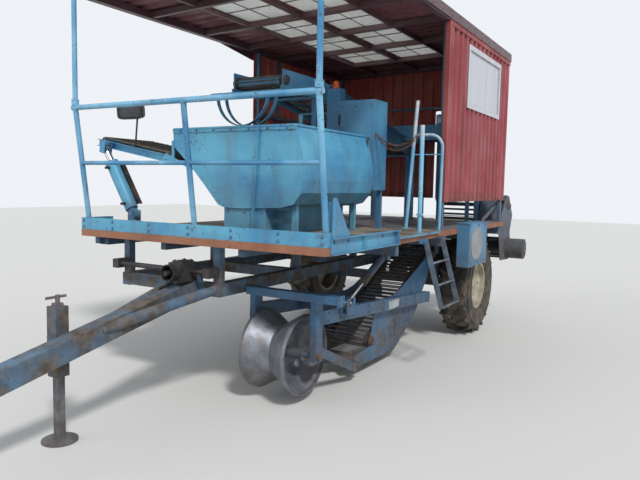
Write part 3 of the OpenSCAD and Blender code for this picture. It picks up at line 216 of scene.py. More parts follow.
def old_paint(name, fresh, faded, soil_top=1.2, rusting=1.0, soiled=0.75, roughness=0.42):
    """Worn paint: chalky patches, rust on edges and in spots, streaks under them, soil below soil_top."""
    material, shader, place = start_finish(name)
    paint = mixed(clouds(place, 2.2, 0.38, 0.66), fresh, faded)
    paint = mixed(clouds(place, 9, 0.5, 0.75, (1, 1, 0.12), end=0.35), paint, (0.10, 0.085, 0.07))
    edge = worked("MULTIPLY", worn_edges(shader, 0.008), clouds(place, 14, 0.42, 0.6))
    spots = worked("MULTIPLY", clouds(place, 55, 0.60, 0.66), clouds(place, 3.1, 0.46, 0.62))
    streaks = clouds(place, 26, 0.66, 0.78, (1, 1, 0.07), end=0.55)
    worn = worked("MAXIMUM", worked("MAXIMUM", edge, spots), streaks)
    worn = worked("MULTIPLY", worn, rusting)
    metal = mixed(clouds(place, 70, 0.35, 0.6), rust, (0.075, 0.04, 0.028))
    colour = mixed(worn, paint, metal)
    low_part = spread(reach_of(place), soil_top - 0.5, soil_top + 0.1, soiled, 0.06)
    dirt = worked("MULTIPLY", low_part, clouds(place, 6, 0.3, 0.62, start=0.35))
    soil_tone = mixed(clouds(place, 18), soil, (0.13, 0.10, 0.075))
    colour = mixed(dirt, colour, soil_tone)
    put(shader.inputs["Base Color"], colour)
    dull = worked("MAXIMUM", worn, dirt)
    put(shader.inputs["Roughness"], spread(dull, 0.0, 1.0, roughness, 0.9))
    uneven(shader, worked("ADD", worn, clouds(place, 40, 0.3, 0.7, end=0.3)), 0.0015)
    return material


def dress(material, *nodes):
    """Gives solids of the frame their finish."""
    for node in nodes:
        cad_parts[node].material_slots[0].material = material


blue_fresh = (0.045, 0.225, 0.42)
blue_faded = (0.11, 0.41, 0.58)
deck_blue = old_paint("deck_blue", blue_fresh, blue_faded)
# Painted shade: the frame under the deck gets a darker blue and is soiled nearly up to the deck. The darkness is partly
# soil and partly painted shade under the platform.
under_blue = old_paint("under_blue", (0.04, 0.15, 0.29), (0.07, 0.22, 0.36), soil_top=1.4, soiled=0.97)
dress(under_blue, "main_frame", "drawbar", "second_web_frame", "dig_ram_barrel")
dress(deck_blue, "kick_board", "side_channel")


# Bolts of the kick board. Hexagon heads on washers, painted over, one above the other at each stay,
# and along the gusset at the platform's left corner.
def on_machine(points):
    """Turns the machine's own measures into the frame's coordinates."""
    return np.asarray(points, float) + front_middle


def grid_faces(rows, columns, close_rows=False, close_columns=False):
    """The quads of a grid of points, numbered row by row; either way of it may close on itself."""
    number = np.arange(rows * columns).reshape(rows, columns)
    if close_rows:
        number = np.vstack([number, number[:1]])
    if close_columns:
        number = np.hstack([number, number[:, :1]])
    quads = np.stack([number[:-1, :-1], number[:-1, 1:], number[1:, 1:], number[1:, :-1]], -1)
    return quads.reshape(-1, 4)


def joined(parts):
    """One list of points and one of faces from several."""
    starts = np.cumsum([0] + [len(points) for points, faces in parts[:-1]])
    return (
        np.vstack([points for points, faces in parts]),
        np.vstack([faces + start for (points, faces), start in zip(parts, starts)]),
    )


def make_piece(name, shape, material, body="chassis", smooth=True):
    """A mesh piece in its finish, riding on a body: poles merged, and all faces turned outwards."""
    points, faces = shape
    mesh = bpy.data.meshes.new(name)
    mesh.from_pydata(points.tolist(), [], faces.tolist())
    loose = bmesh.new()
    loose.from_mesh(mesh)
    bmesh.ops.remove_doubles(loose, verts=loose.verts, dist=2e-6)
    bmesh.ops.recalc_face_normals(loose, faces=loose.faces)
    loose.to_mesh(mesh)
    loose.free()
    mesh.polygons.foreach_set("use_smooth", [smooth] * len(mesh.polygons))
    mesh.materials.append(material)
    mesh.update()
    piece = bpy.data.objects.new(name, mesh)
    bpy.context.scene.collection.objects.link(piece)
    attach(piece, body)
    return piece


def towards(axes):
    """Turning matrices that carry z onto each of some directions."""
    z = np.asarray(axes, float)
    z = z / np.linalg.norm(z, axis=1, keepdims=True)
    helper = np.where(np.abs(z[:, :1]) < 0.9, [[1.0, 0, 0]], [[0, 1.0, 0]])
    x = np.cross(helper, z)
    x /= np.linalg.norm(x, axis=1, keepdims=True)
    return np.stack([x, np.cross(z, x), z], -1)


def circle(radius, count, start=0.0, height=0.0):
    """Even points round z at a radius and a height, the first of them at a starting angle."""
    angle = start + np.arange(count) * 2 * np.pi / count
    return np.stack([radius * np.cos(angle), radius * np.sin(angle), 0 * angle + height], -1)


def turned_shape(profile, sides):
    """A profile of (radius, height) pairs spun round z: a ring of points for each pair."""
    profile = np.asarray(profile, float)
    points = profile[:, None, :1] * circle(1, sides) + [0, 0, 1] * profile[:, None, 1:]
    return points.reshape(-1, 3), grid_faces(len(profile), sides, close_columns=True)


def repeated(shape, places, axes):
    """A small shape set at each place, its z along that place's axis, or along one axis for all."""
    points, faces = shape
    places = np.asarray(places, float).reshape(-1, 3)
    axes = np.broadcast_to(np.asarray(axes, float), places.shape)
    turned = np.einsum("kij,nj->kni", towards(axes), points) + places[:, None, :]
    numbers = faces[None] + np.arange(len(places))[:, None, None] * len(points)
    return turned.reshape(-1, 3), numbers.reshape(-1, 4)


def fastened(*groups):
    """Groups of a small shape, its places on the machine and the way it points, as one shape."""
    return joined([repeated(shape, on_machine(places), way) for shape, places, way in groups])


def every(*ranges):
    """All the points whose coordinates come from three lists."""
    return np.stack(np.meshgrid(*ranges, indexing="ij"), -1).reshape(-1, 3)


def bolt_heads(across, thick):
    """A hexagon head on its washer, with a chamfered top."""
    low, top = thick * 0.1, thick * 1.14
    washer = [(0, 0), (across * 0.98, 0), (across * 0.98, thick * 0.2), (0, thick * 0.2)]
    head = [(0, low), (across * 0.56, low), (across * 0.56, thick), (across * 0.46, top), (0, top)]
    return joined([turned_shape(washer, 12), turned_shape(head, 6)])


leftward, rightward, ahead, behind, upward = (1, 0, 0), (-1, 0, 0), (0, -1, 0), (0, 1, 0), (0, 0, 1)
deck_z, half_width = 1.238, 1.17
m12_bolt = bolt_heads(0.0145, 0.007)
old_bolts = old_paint("old_bolts", (0.05, 0.20, 0.39), (0.09, 0.22, 0.34), soil_top=0.9, rusting=0.9)
board_bolts = every([-1.14, -0.8, -0.4, 0.0, 0.4, 0.8, 1.14], [-0.002], [deck_z + 0.022, deck_z + 0.072])
corner_bolts = every([half_width + 0.007], [0.095, 0.29, 0.55, 0.83, 1.06], [deck_z + 0.03])
bolts = fastened((m12_bolt, board_bolts, ahead), (m12_bolt, corner_bolts, leftward))
make_piece("board_bolts", bolts, old_bolts, smooth=False)


# Timber deck. Weathered planks laid across the machine, grey where feet wear them, with soil in the
# grain and in the gaps.
def weathered_timber(name, light, dark):
    """Long grain across the machine, a tone for each plank, knots and trodden soil."""
    material, shader, place = start_finish(name, roughness=0.85)
    grain = clouds(place, 60, 0.3, 0.7, (0.05, 1, 1), detail=6)
    tone = mixed(grain, dark, light)
    tone = mixed(clouds(place, 3.3, 0.4, 0.62, (0.3, 2, 1)), tone, (0.30, 0.25, 0.19))
    trodden = clouds(place, 2.4, 0.42, 0.62, end=0.8)
    colour = mixed(trodden, tone, soil)
    put(shader.inputs["Base Color"], colour)
    uneven(shader, grain, 0.002)
    return material


dress(weathered_timber("deck_timber", (0.30, 0.25, 0.20), (0.11, 0.085, 0.065)), "deck_planks")
edge_rust = old_paint("edge_rust", (0.26, 0.10, 0.05), (0.36, 0.17, 0.10), soil_top=0.6, rusting=0.8, roughness=0.8)
dress(edge_rust, "deck_edge")

# Nails of the planks: two to a plank over each long bearer, trodden flush and rusty.
plank_count = 14
plank_step = 2.135 / plank_count
plank_y = 0.015 + plank_step * (np.arange(plank_count) + 0.5)
nail_y = np.r_[plank_y - 0.045, plank_y + 0.042]
nail = turned_shape([(0, -0.001), (0.0062, -0.001), (0.0062, 0.0008), (0.004, 0.0018), (0, 0.0020)], 8)
nails = every([-1.115, -0.355, 0.405, 1.115], nail_y, [deck_z])
# No nail shows where the elevator ram's base comes up through the planks.
ram_base = np.array([-1.090, 0.490, 1.346])
by_ram = (np.abs(nails - ram_base)[:, :2] < [0.06, 0.07]).all(axis=1)
nail_rust = old_paint("nail_rust", (0.10, 0.05, 0.03), (0.16, 0.09, 0.06), soil_top=0.6, roughness=0.8)
make_piece("plank_nails", fastened((nail, nails[~by_ram], upward)), nail_rust)


# Plain worn steel: the rear deck, ladder, jack, share and haulm unit. Mill grey with brown rust bloom.
def worn_steel(name, light, dark, rusty=0.6, roughness=0.55, metallic=0.6, soil_top=0.9):
    """Scuffed grey steel with rust bloom, and soil low down."""
    material, shader, place = start_finish(name, metallic=metallic)
    steel = mixed(clouds(place, 12, 0.35, 0.65), dark, light)
    bloom = clouds(place, 5, 0.46, 0.62, end=rusty)
    colour = mixed(bloom, steel, mixed(clouds(place, 60), rust, (0.10, 0.05, 0.03)))
    low_part = spread(reach_of(place), soil_top - 0.5, soil_top, 0.8, 0.1)
    dirt = worked("MULTIPLY", low_part, clouds(place, 7, 0.3, 0.6, start=0.2))
    colour = mixed(dirt, colour, soil)
    put(shader.inputs["Base Color"], colour)
    dull = worked("MAXIMUM", bloom, dirt)
    put(shader.inputs["Roughness"], spread(dull, 0, 1, roughness, 0.92))
    put(shader.inputs["Metallic"], spread(dull, 0, 1, metallic, 0.0))
    uneven(shader, clouds(place, 90, 0.3, 0.7), 0.0008)
    return material


grey_steel = worn_steel("grey_steel", (0.27, 0.29, 0.32), (0.13, 0.14, 0.16))
dress(grey_steel, "rear_deck", "jack_leg", "share")
dress(worn_steel("ladder_steel", (0.19, 0.25, 0.31), (0.09, 0.13, 0.17), rusty=0.4), "ladder")
dark_steel = worn_steel("dark_steel", (0.07, 0.07, 0.075), (0.03, 0.03, 0.032), rusty=0.35)
dress(dark_steel, "drive_line", "ram_prop")
bolts = fastened(
    (m12_bolt, every([-0.095, -0.025], [-0.035, 0.065], [1.062]), upward),
    (m12_bolt, every([-0.105, -0.015], [-0.07], [0.93, 1.03]), ahead),
)
make_piece("gearbox_bolts", bolts, dark_steel, smooth=False)


# Railing. Round tube, bent forward over the platform's front edge and welded at each crossing: the
# beads stay a little proud of the tube, and hands keep the left rails pale at the top.
def tube(path, radius, sides=8, closed=False):
    """A circle carried along a path, with its ends drawn in to a point unless the path is a ring."""
    path = np.asarray(path, float)
    along = np.roll(path, -1, 0) - np.roll(path, 1, 0) if closed else np.gradient(path, axis=0)
    along /= np.linalg.norm(along, axis=1, keepdims=True)
    flattest = np.argmin(np.abs(along).max(axis=0))
    first = np.cross(along, np.eye(3)[flattest])
    first /= np.linalg.norm(first, axis=1, keepdims=True)
    second = np.cross(along, first)
    unit = circle(1, sides)
    ring = first[:, None] * unit[:, :1] + second[:, None] * unit[:, 1:2]
    radius = np.broadcast_to(radius, len(path))[:, None, None]
    points = path[:, None] + ring * radius
    if not closed:
        caps = path[[0, -1], None].repeat(sides, 1)
        points = np.concatenate([caps[:1], points, caps[1:]])
    return points.reshape(-1, 3), grid_faces(len(points), sides, close_rows=closed, close_columns=True)


def weld_ring(radius, thick):
    """A bead round a tube, uneven as weld pools are: its thickness swells seven times round."""
    swelling = 1 + 0.18 * np.sin(7 * np.arange(36) * 2 * np.pi / 36)
    return tube(circle(radius, 36), thick * swelling, 6, closed=True)


rail_z, mid_z = 2.215, 1.778
rail_y, rail_lean = 0.060, 0.130
head_y = rail_y - rail_lean
mid_y = rail_y - rail_lean * (mid_z - deck_z) / (rail_z - deck_z)
post_x = np.array([-1.14, 0.02, 1.14])
beside = 0.0225
mid_joints = every(np.r_[post_x[1:] - beside, post_x[:2] + beside], [mid_y], [mid_z])
foot_joints = every(post_x, [rail_y - 0.0015], [deck_z + 0.0125])
head_joints = every(post_x, [head_y + 0.003], [rail_z - 0.021])
stub_joints = every(post_x[[0, 2]], [head_y], [rail_z + 0.060])
railing_blue = old_paint("railing_blue", blue_fresh, (0.22, 0.50, 0.70), soil_top=1.0, rusting=1.0)
dress(railing_blue, "front_railing")
post_lean = (0, -rail_lean, rail_z - deck_z)
welds = fastened(
    (weld_ring(0.0175, 0.0032), mid_joints, leftward),
    (weld_ring(0.0215, 0.0038), foot_joints, post_lean),
    (weld_ring(0.0205, 0.0036), head_joints, post_lean),
    (weld_ring(0.0285, 0.0030), stub_joints, upward),
)
make_piece("railing_welds", welds, railing_blue)


# Rails of the way up. A leaning post and a bright hoop, pale with wear at the top where hands hold
# them, and a post in front of the ladder, rubbed down to grey.
def handled_paint(name, fresh, faded, rubbed, bare_above):
    """The platform's paint, rubbed through to a pale undercoat above a height."""
    material = old_paint(name, fresh, faded, soil_top=1.3, rusting=0.8)
    nodes = material.node_tree.nodes
    colour = nodes["Principled BSDF"].inputs["Base Color"]
    painted, place = colour.links[0].from_socket, nodes.new("ShaderNodeTexCoord").outputs["Object"]
    high = spread(reach_of(place), bare_above - 0.12, bare_above + 0.12)
    patchy = worked("MULTIPLY", high, clouds(place, 24, 0.38, 0.56, start=0.45))
    put(colour, mixed(patchy, painted, rubbed))
    return material


dress(handled_paint("hoop_paint", (0.13, 0.42, 0.66), (0.30, 0.58, 0.74), (0.62, 0.62, 0.60), 2.05), "entry_rails")


# Safety chain. Two strands of round-wire links, rusty brown, hooked between the cabinet and the post
# by the ladder; it hangs in a catenary, and each link stands across the one before it.
chain_start = np.array([0.659, 1.746, 2.116])
chain_end = np.array([half_width - 0.074, 1.700, 2.114])
wire, link_length, link_width = 0.003, 0.035, 0.021


def link_ring():
    """One link about the origin, along x: wire round a stadium outline."""
    turn_at = np.linspace(-np.pi / 2, np.pi / 2, 7)
    reach, turn_radius = (link_length - link_width) / 2, link_width / 2 - wire
    right = np.stack([reach + turn_radius * np.cos(turn_at), turn_radius * np.sin(turn_at), 0 * turn_at], -1)
    outline = np.concatenate([right, right * [-1, -1, 1]])
    return tube(outline, wire, 6, closed=True)


def chain_links(start, end, sag, first_turn):
    """Links along the catenary between two points with a given sag, each turned a quarter further."""
    span_line = end - start
    span = np.hypot(span_line[0], span_line[1])
    c = span * span / (8 * sag) + sag / 6
    half_length = c * np.sinh(span / 2 / c)
    count = int(np.ceil(2 * half_length / (link_length - 2 * wire - 0.001)))
    s = (2 * (np.arange(count) + 0.5) / count - 1) * half_length
    x = c * np.arcsinh(s / c)
    drop = np.hypot(c, s) - np.hypot(c, half_length)
    middle = start + span_line * (x / span + 0.5)[:, None] + drop[:, None] * [0, 0, 1]
    heading = math.atan2(span_line[1], span_line[0])
    points, faces = link_ring()
    turned = []
    for number, slope in enumerate(np.arctan(s / c)):
        pose = Matrix.Rotation(heading, 3, "Z") @ Matrix.Rotation(-slope, 3, "Y")
        pose = pose @ Matrix.Rotation(math.radians(first_turn + 90 * (number % 2)), 3, "X")
        turned.append((points @ np.array(pose).T + middle[number], faces))
    return joined(turned)


rusty_iron = worn_steel("rusty_iron", (0.22, 0.10, 0.05), (0.12, 0.05, 0.03), rusty=0.9, roughness=0.8, metallic=0.2)
upper = chain_links(chain_start, chain_end, 0.115, 12)
lower = chain_links(chain_start + [0, 0.002, -0.012], chain_end + [0, -0.003, -0.012], 0.150, 40)
strand_points, strand_faces = joined([upper, lower])
chain = make_piece("chain_strands", (on_machine(strand_points), strand_faces), rusty_iron)
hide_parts("safety_chain")


# Canopy. Ribbed steel sheet on a box-section frame: the roof and the left wall are red-brown and chalked,
# the roof's sheet darker as painted shade under the roof; the two far walls a warmer red, made brighter
# as painted sunlight on them; and the frame is dull grey-blue.
def ribbed_sheet(name, fresh, faded, streaked=0.5):
    """Coated sheet that fades in wide patches, with vertical streaks and rust at the lower edge."""
    material, shader, place = start_finish(name)
    coat = mixed(clouds(place, 1.6, 0.35, 0.65), fresh, faded)
    coat = mixed(clouds(place, 16, 0.45, 0.75, (1, 1, 0.05), end=streaked), coat, (0.075, 0.035, 0.04))
    coat = mixed(clouds(place, 22, 0.55, 0.8, (1, 1, 0.06), end=0.4), coat, (0.33, 0.17, 0.17))
    low_part = spread(reach_of(place), 1.5, 1.62, 0.9, 0.0)
    foot = worked("MULTIPLY", low_part, clouds(place, 12, 0.35, 0.6))
    coat = mixed(foot, coat, (0.10, 0.05, 0.035))
    put(shader.inputs["Base Color"], coat)
    put(shader.inputs["Roughness"], clouds(place, 4, start=0.5, end=0.75))
    uneven(shader, clouds(place, 3.5, 0.2, 0.8), 0.006)
    return material


red_sheet = ribbed_sheet("red_sheet", (0.26, 0.034, 0.042), (0.33, 0.075, 0.085))
dress(red_sheet, "left_wall")
# Painted shade: the roof sheet's darker red stands for the shade under the roof.
dress(ribbed_sheet("roof_sheet_painted_shade", (0.13, 0.036, 0.045), (0.19, 0.07, 0.08)), "canopy_roof")
# Painted sunlight: the far walls' sheet is brighter than the wall's, to stand for sun falling on it.
dress(ribbed_sheet("orange_sheet", (0.43, 0.062, 0.046), (0.47, 0.12, 0.085), 0.4), "far_walls")
beam_maroon = old_paint("beam_maroon", (0.085, 0.035, 0.045), (0.12, 0.07, 0.085), soil_top=0.2, rusting=0.6)
dress(beam_maroon, "canopy_frame")
dress(old_paint("post_grey", (0.07, 0.12, 0.19), (0.12, 0.19, 0.27), soil_top=1.4, rusting=0.8), "cabin_posts")

# Sheet screws. A dome on a rubber washer: in the walls' valleys at each rail, and on every second
# crest of the roof over each purlin.
rubber = turned_shape([(0, -0.001), (0.0095, -0.001), (0.0095, 0.0022), (0.0075, 0.003), (0, 0.003)], 12)
dome = turned_shape([(0, 0.002), (0.006, 0.002), (0.006, 0.0062), (0.0045, 0.0075), (0, 0.008)], 6)
screw = joined([rubber, dome])
roof_z, rib_height, sheet_thick = 3.232, 0.022, 0.003


def rib_places(start, end, pitch=0.139):
    """The start of each rib of a sheet from start to end, and the true pitch of its ribs."""
    count = int((end - start) // pitch)
    return start + np.arange(count) * (end - start) / count, (end - start) / count


def on_roof(points):
    """Tips points of the level roof down to its right, about the top of the left wall."""
    hinge = np.array([half_width, 0, roof_z])
    lean = math.atan(0.060 / 2.34)
    return (np.asarray(points, float) - hinge) @ np.array(Matrix.Rotation(-lean, 3, "Y")).T + hinge


left_ribs, left_pitch = rib_places(2.160, 4.336)
valley_x = half_width - 0.026 + sheet_thick
left_screws = every([valley_x], left_ribs + 0.21 * left_pitch, [1.535, 2.415, 3.115])
window_low, window_high = (2.73, 2.43), (3.94, 3.07)
in_window = ((left_screws[:, 1:] > window_low) & (left_screws[:, 1:] < window_high)).all(axis=1)
right_ribs, right_pitch = rib_places(2.285, 4.336)
right_screws = every([-valley_x], right_ribs + 0.21 * right_pitch, [1.535, 2.415, 3.05])
roof_ribs, roof_pitch = rib_places(-0.093, 4.338)
crest_z = roof_z - 0.020 + rib_height + sheet_thick
roof_screws = on_roof(every([-1.13, -0.59, 0.0, 0.59, 1.13], roof_ribs[::2] + 0.71 * roof_pitch, [crest_z]))
screws = fastened(
    (screw, left_screws[~in_window], leftward), (screw, right_screws, rightward), (screw, roof_screws, upward)
)
make_piece("sheet_screws", screws, grey_steel)

# Fascia rivets, all round the roof's edge.
rivet = turned_shape([(0, 0), (0.0075, 0), (0.0065, 0.0028), (0.0035, 0.0044), (0, 0.005)], 10)
fascia_z, fascia_x = [roof_z - 0.045, roof_z + 0.004], half_width + 0.010
side_rivets = np.arange(0.0, 4.3, 0.24)
front_rivets = np.arange(-1.1, 1.11, 0.22)
rivet_rows = (
    (every([fascia_x], side_rivets, fascia_z), leftward),
    (every([-fascia_x], side_rivets, fascia_z), rightward),
    (every(front_rivets, [-0.101], fascia_z), ahead),
    (every(front_rivets, [4.346], fascia_z), behind),
)
rivets = fastened(*((rivet, on_roof(places), way) for places, way in rivet_rows))
make_piece("fascia_rivets", rivets, beam_maroon)

# Edge trim of the left wall: a folded strip over the sheet's front edge, its red less chalked.
def swept(profile, path):
    """A closed profile in the plane across a straight path, drawn from one end of it to the other."""
    profile = np.asarray(profile, float)
    points = np.asarray(path, float)[:, None] + profile[None]
    ends = points.mean(axis=1, keepdims=True).repeat(len(profile), 1)
    points = np.concatenate([ends[:1], points, ends[1:]])
    return points.reshape(-1, 3), grid_faces(4, len(profile), close_columns=True)


trim_outline = [(-0.034, -0.004), (0.006, -0.004), (0.006, 0.050), (0.004, 0.050)]
trim_outline += [(0.004, -0.002), (-0.032, -0.002), (-0.032, 0.050), (-0.034, 0.050)]
trim_profile = np.insert(trim_outline, 2, 0, axis=1)
trim_line = on_machine([(half_width, 2.158, 1.503), (half_width, 2.158, 3.145)])
trim_red = ribbed_sheet("trim_red", (0.25, 0.036, 0.034), (0.35, 0.07, 0.06))
make_piece("wall_trim", swept(trim_profile, trim_line), trim_red, smooth=False)

# Closure strips: folded strips under the fascia that shut the ribs off along the walls' tops.
strip_top, strip_foot, strip_lip, strip_thick = -0.062, -0.112, 0.014, 0.003


def closure_strip(start, end, inward):
    """An upright strip with a lip turned inwards at its foot, along the roof from start to end."""
    inward = np.array(inward, float)
    outline = [(0, strip_top), (-strip_thick, strip_top), (-strip_thick, strip_foot), (strip_lip, strip_foot)]
    outline += [(strip_lip, strip_foot + strip_thick), (0, strip_foot + strip_thick)]
    profile = [inward * reach + [0, 0, up] for reach, up in outline]
    return swept(profile, on_machine(on_roof([start, end])))


strip_x, strip_y = half_width + 0.001, 4.340
side_end = strip_y - strip_thick
strips = [
    closure_strip((strip_x, 2.160, roof_z), (strip_x, side_end, roof_z), rightward),
    closure_strip((-strip_x, 2.285, roof_z), (-strip_x, side_end, roof_z), leftward),
    closure_strip((-strip_x, strip_y, roof_z), (strip_x, strip_y, roof_z), ahead),
]
make_piece("closure_strips", joined(strips), trim_red, smooth=False)


# Panes. The wall's window and the roof lights are clouded plastic sheet, streaked by rain.
def clouded_plastic(name, colour, through, roughness):
    """Milky sheet that lets some light through, with faint upright streaks."""
    material, shader, place = start_finish(name, roughness=roughness)
    streaks = clouds(place, 18, 0.4, 0.7, (1, 1, 0.05), end=0.35)
    put(shader.inputs["Base Color"], mixed(streaks, colour, (0.42, 0.42, 0.45)))
    put(shader.inputs["Transmission Weight"], through)
    return material


def two_toned(name, first, second, roughness, patches, grain=0):
    """Two colours in soft patches, and a fine grain with so many bumps to the metre."""
    material, shader, place = start_finish(name, roughness=roughness)
    put(shader.inputs["Base Color"], mixed(clouds(place, *patches), first, second))
    if grain:
        uneven(shader, clouds(place, grain, 0.3, 0.7), 0.0003)
    return material


dress(clouded_plastic("window_pane", (0.68, 0.69, 0.74), 0.2, 0.4), "side_window")
dress(clouded_plastic("roof_pane", (0.88, 0.88, 0.84), 0.8, 0.6), "roof_lights")

# The window's rubber seal, pressed between its frame and the pane on the outside.
seal_x, seal_round = half_width - 0.0105, 0.02
seal_y = (2.79 + seal_round, 3.88 - seal_round)
seal_z = (2.488 + seal_round, 3.008 - seal_round)
seal_line = []
for quadrant, (y, z) in enumerate(((1, 1), (0, 1), (0, 0), (1, 0))):
    way = np.linspace(0, np.pi / 2, 5) + quadrant * np.pi / 2
    corner_y, corner_z = seal_y[y] + seal_round * np.cos(way), seal_z[z] + seal_round * np.sin(way)
    seal_line.append(np.stack([0 * way + seal_x, corner_y, corner_z], -1))
seal = tube(on_machine(np.concatenate(seal_line)), 0.006, 8, closed=True)

# Glazing bars of the roof lights: thin strips under each sheet, once along and once across it.
light_y = [(0.755, 1.450), (1.475, 2.150), (2.175, 2.890), (2.915, 3.610)]
light_x = [(-0.56, -0.06), (0.06, 0.56)]
bar_z, bar_gap = 3.207, 0.004
bars = []
for x0, x1 in light_x:
    for y0, y1 in light_y:
        middle_x, middle_y = (x0 + x1) / 2, (y0 + y1) / 2
        long_bar = [(middle_x, y0 + bar_gap, bar_z), (middle_x, y1 - bar_gap, bar_z)]
        cross_bar = [(x0 + bar_gap, middle_y, bar_z), (x1 - bar_gap, middle_y, bar_z)]
        bars += [tube(on_machine(on_roof(bar)), 0.005, 6) for bar in (long_bar, cross_bar)]
seal_rubber = two_toned("seal_rubber", (0.24, 0.24, 0.25), (0.36, 0.36, 0.38), 0.7, (14,))
make_piece("window_seal", seal, seal_rubber)
make_piece("glazing_bars", joined(bars), beam_maroon)


# Hopper. Folded sheet, open at the top, with a pipe rolled round its rim, bands bolted under it, and
# inner faces scuffed bright by the crop.
hopper_blue = old_paint("hopper_blue", (0.055, 0.27, 0.48), (0.12, 0.45, 0.62), soil_top=1.75, soiled=0.5)
dress(hopper_blue, "hopper_body", "fall_straps", "elevator_frame", "elevator_ram_barrel")
rim_z = 2.082
rim_line = [(-0.663, 1.196), (-0.663, 1.712), (0.577, 1.712), (0.577, 0.538), (-0.663, 0.538), (-0.663, 0.562)]
rim_line = np.insert(rim_line, 2, rim_z, axis=1)


def eased(corners, radius, steps=5):
    """A path through corners that rounds each of them with a short curve inside the corner."""
    corners = np.asarray(corners, float)
    t = np.linspace(0, 1, steps)[:, None]
    path = [corners[:1]]
    for before, corner, after in zip(corners[:-2], corners[1:-1], corners[2:]):
        reach = min(radius, np.linalg.norm(before - corner) / 2, np.linalg.norm(after - corner) / 2)
        start = corner + (before - corner) / np.linalg.norm(before - corner) * reach
        end = corner + (after - corner) / np.linalg.norm(after - corner) * reach
        path.append((1 - t) ** 2 * start + 2 * t * (1 - t) * corner + t**2 * end)
    path.append(corners[-1:])
    return np.concatenate(path)


make_piece("rim_pipe", tube(on_machine(eased(rim_line, 0.03)), 0.011, 10), hopper_blue)
band_bolts = every(np.linspace(-0.58, 0.50, 7), [0.532], [2.067])
rear_bolts = every(np.linspace(-0.58, 0.24, 6), [1.718], [2.067])
housing_bolts = every([-0.08, 0.09, 0.26], [0.554], [1.262, 1.415])
bolts = fastened((m12_bolt, band_bolts, ahead), (m12_bolt, rear_bolts, behind), (m12_bolt, housing_bolts, ahead))
make_piece("hopper_bolts", bolts, old_bolts, smooth=False)

# Weld seams where the hopper's end plates meet its folded sides.
hopper_fold = [(-0.666, 1.949), (-0.472, 1.777), (-0.323, 1.627), (-0.175, 1.467), (-0.110, 1.445)]
hopper_fold += [(0.060, 1.440), (0.440, 1.458), (0.558, 1.486), (0.632, 1.574), (0.650, 1.677)]
hopper_fold += [(0.648, 1.800), (0.624, 1.926), (0.574, 2.05)]
fold_x, fold_z = np.transpose(hopper_fold)
lengths = np.r_[0, np.cumsum(np.hypot(np.diff(fold_x), np.diff(fold_z)))]
along = np.linspace(0.01, lengths[-1] - 0.01, 150)
seam_x, seam_z = np.interp(along, lengths, fold_x), np.interp(along, lengths, fold_z)
bead_size = 0.0034 * (1 + 0.22 * np.sin(np.arange(150) * 1.9))
seams = [tube(on_machine(np.stack([seam_x, 0 * along + y, seam_z], -1)), bead_size, 6) for y in (0.541, 1.709)]
make_piece("hopper_seams", joined(seams), hopper_blue)


# Cabinet behind the hopper. A sheet-steel case with a hinged door, and a darker switch box beside it
# with a blank plate and an amber lamp on top.
dress(old_paint("cabinet_blue", (0.05, 0.21, 0.40), (0.11, 0.37, 0.55), soil_top=1.7, soiled=0.3), "control_column")
hinge_profile = [(0, -0.045), (0.009, -0.045), (0.009, -0.016), (0.0075, -0.015)]
hinge_profile += [(radius, -up) for radius, up in hinge_profile[::-1]]
hinge_barrel = turned_shape(hinge_profile, 12)
door_hinges = [(0.286, 1.712, 1.80), (0.286, 1.712, 2.25)]
handle_line = eased([(0.600, 1.717, 1.93), (0.600, 1.680, 1.93), (0.600, 1.680, 2.07), (0.600, 1.717, 2.07)], 0.02)
door_screws = every([0.31, 0.46, 0.615], [1.718], [1.66, 2.36])
door_parts = fastened((hinge_barrel, door_hinges, upward), (rivet, door_screws, ahead))
handle = tube(on_machine(handle_line), 0.006, 8)
make_piece("cabinet_fittings", joined([door_parts, handle]), dark_steel)
lamp_glass = two_toned("amber_lamp", (0.75, 0.16, 0.02), (0.60, 0.10, 0.02), 0.25, (30,))
amber_profile = [(0, 0), (0.036, 0), (0.036, 0.012), (0.030, 0.014)]
amber_profile += [(0.030, 0.055), (0.024, 0.068), (0.012, 0.074), (0, 0.075)]
amber = fastened((turned_shape(amber_profile, 20), [(0.206, 1.782, 2.540)], upward))
make_piece("amber_lamp", amber, lamp_glass)


# Conveyors over the deck. The picking table, the cross conveyor that fills it and the rear elevator
# are folded plates bolted together; their shafts run in flanged bearings.
conveyor_blue = old_paint("conveyor_blue", (0.06, 0.24, 0.47), (0.13, 0.38, 0.58), soil_top=1.9, soiled=0.45)
dress(conveyor_blue, "filling_conveyor", "picking_table", "rear_elevator")
housing_profile = [(0, 0), (0.046, 0), (0.046, 0.006), (0.041, 0.009), (0.033, 0.010)]
housing_profile += [(0.030, 0.024), (0.026, 0.027), (0.019, 0.027), (0.019, 0.022), (0, 0.022)]
small_bolt = bolt_heads(0.013, 0.006)
flange_bolts = repeated(small_bolt, circle(0.0375, 4, start=np.pi / 4, height=0.007), upward)
nipple = turned_shape([(0, 0), (0.003, 0), (0.003, 0.006), (0.0045, 0.008), (0.0025, 0.013), (0, 0.014)], 8)
nipple = repeated(nipple, [(0.024, 0, 0.016)], (1, 0, 0.4))
bearing = joined([turned_shape(housing_profile, 24), flange_bolts, nipple])


def bearings(left_x, right_x, yz):
    """A flanged bearing outside the left and the right plate, for each shaft at (y, z)."""
    left, right = np.insert(yz, 0, left_x, axis=1), np.insert(yz, 0, right_x, axis=1)
    return fastened((bearing, left, leftward), (bearing, right, rightward))


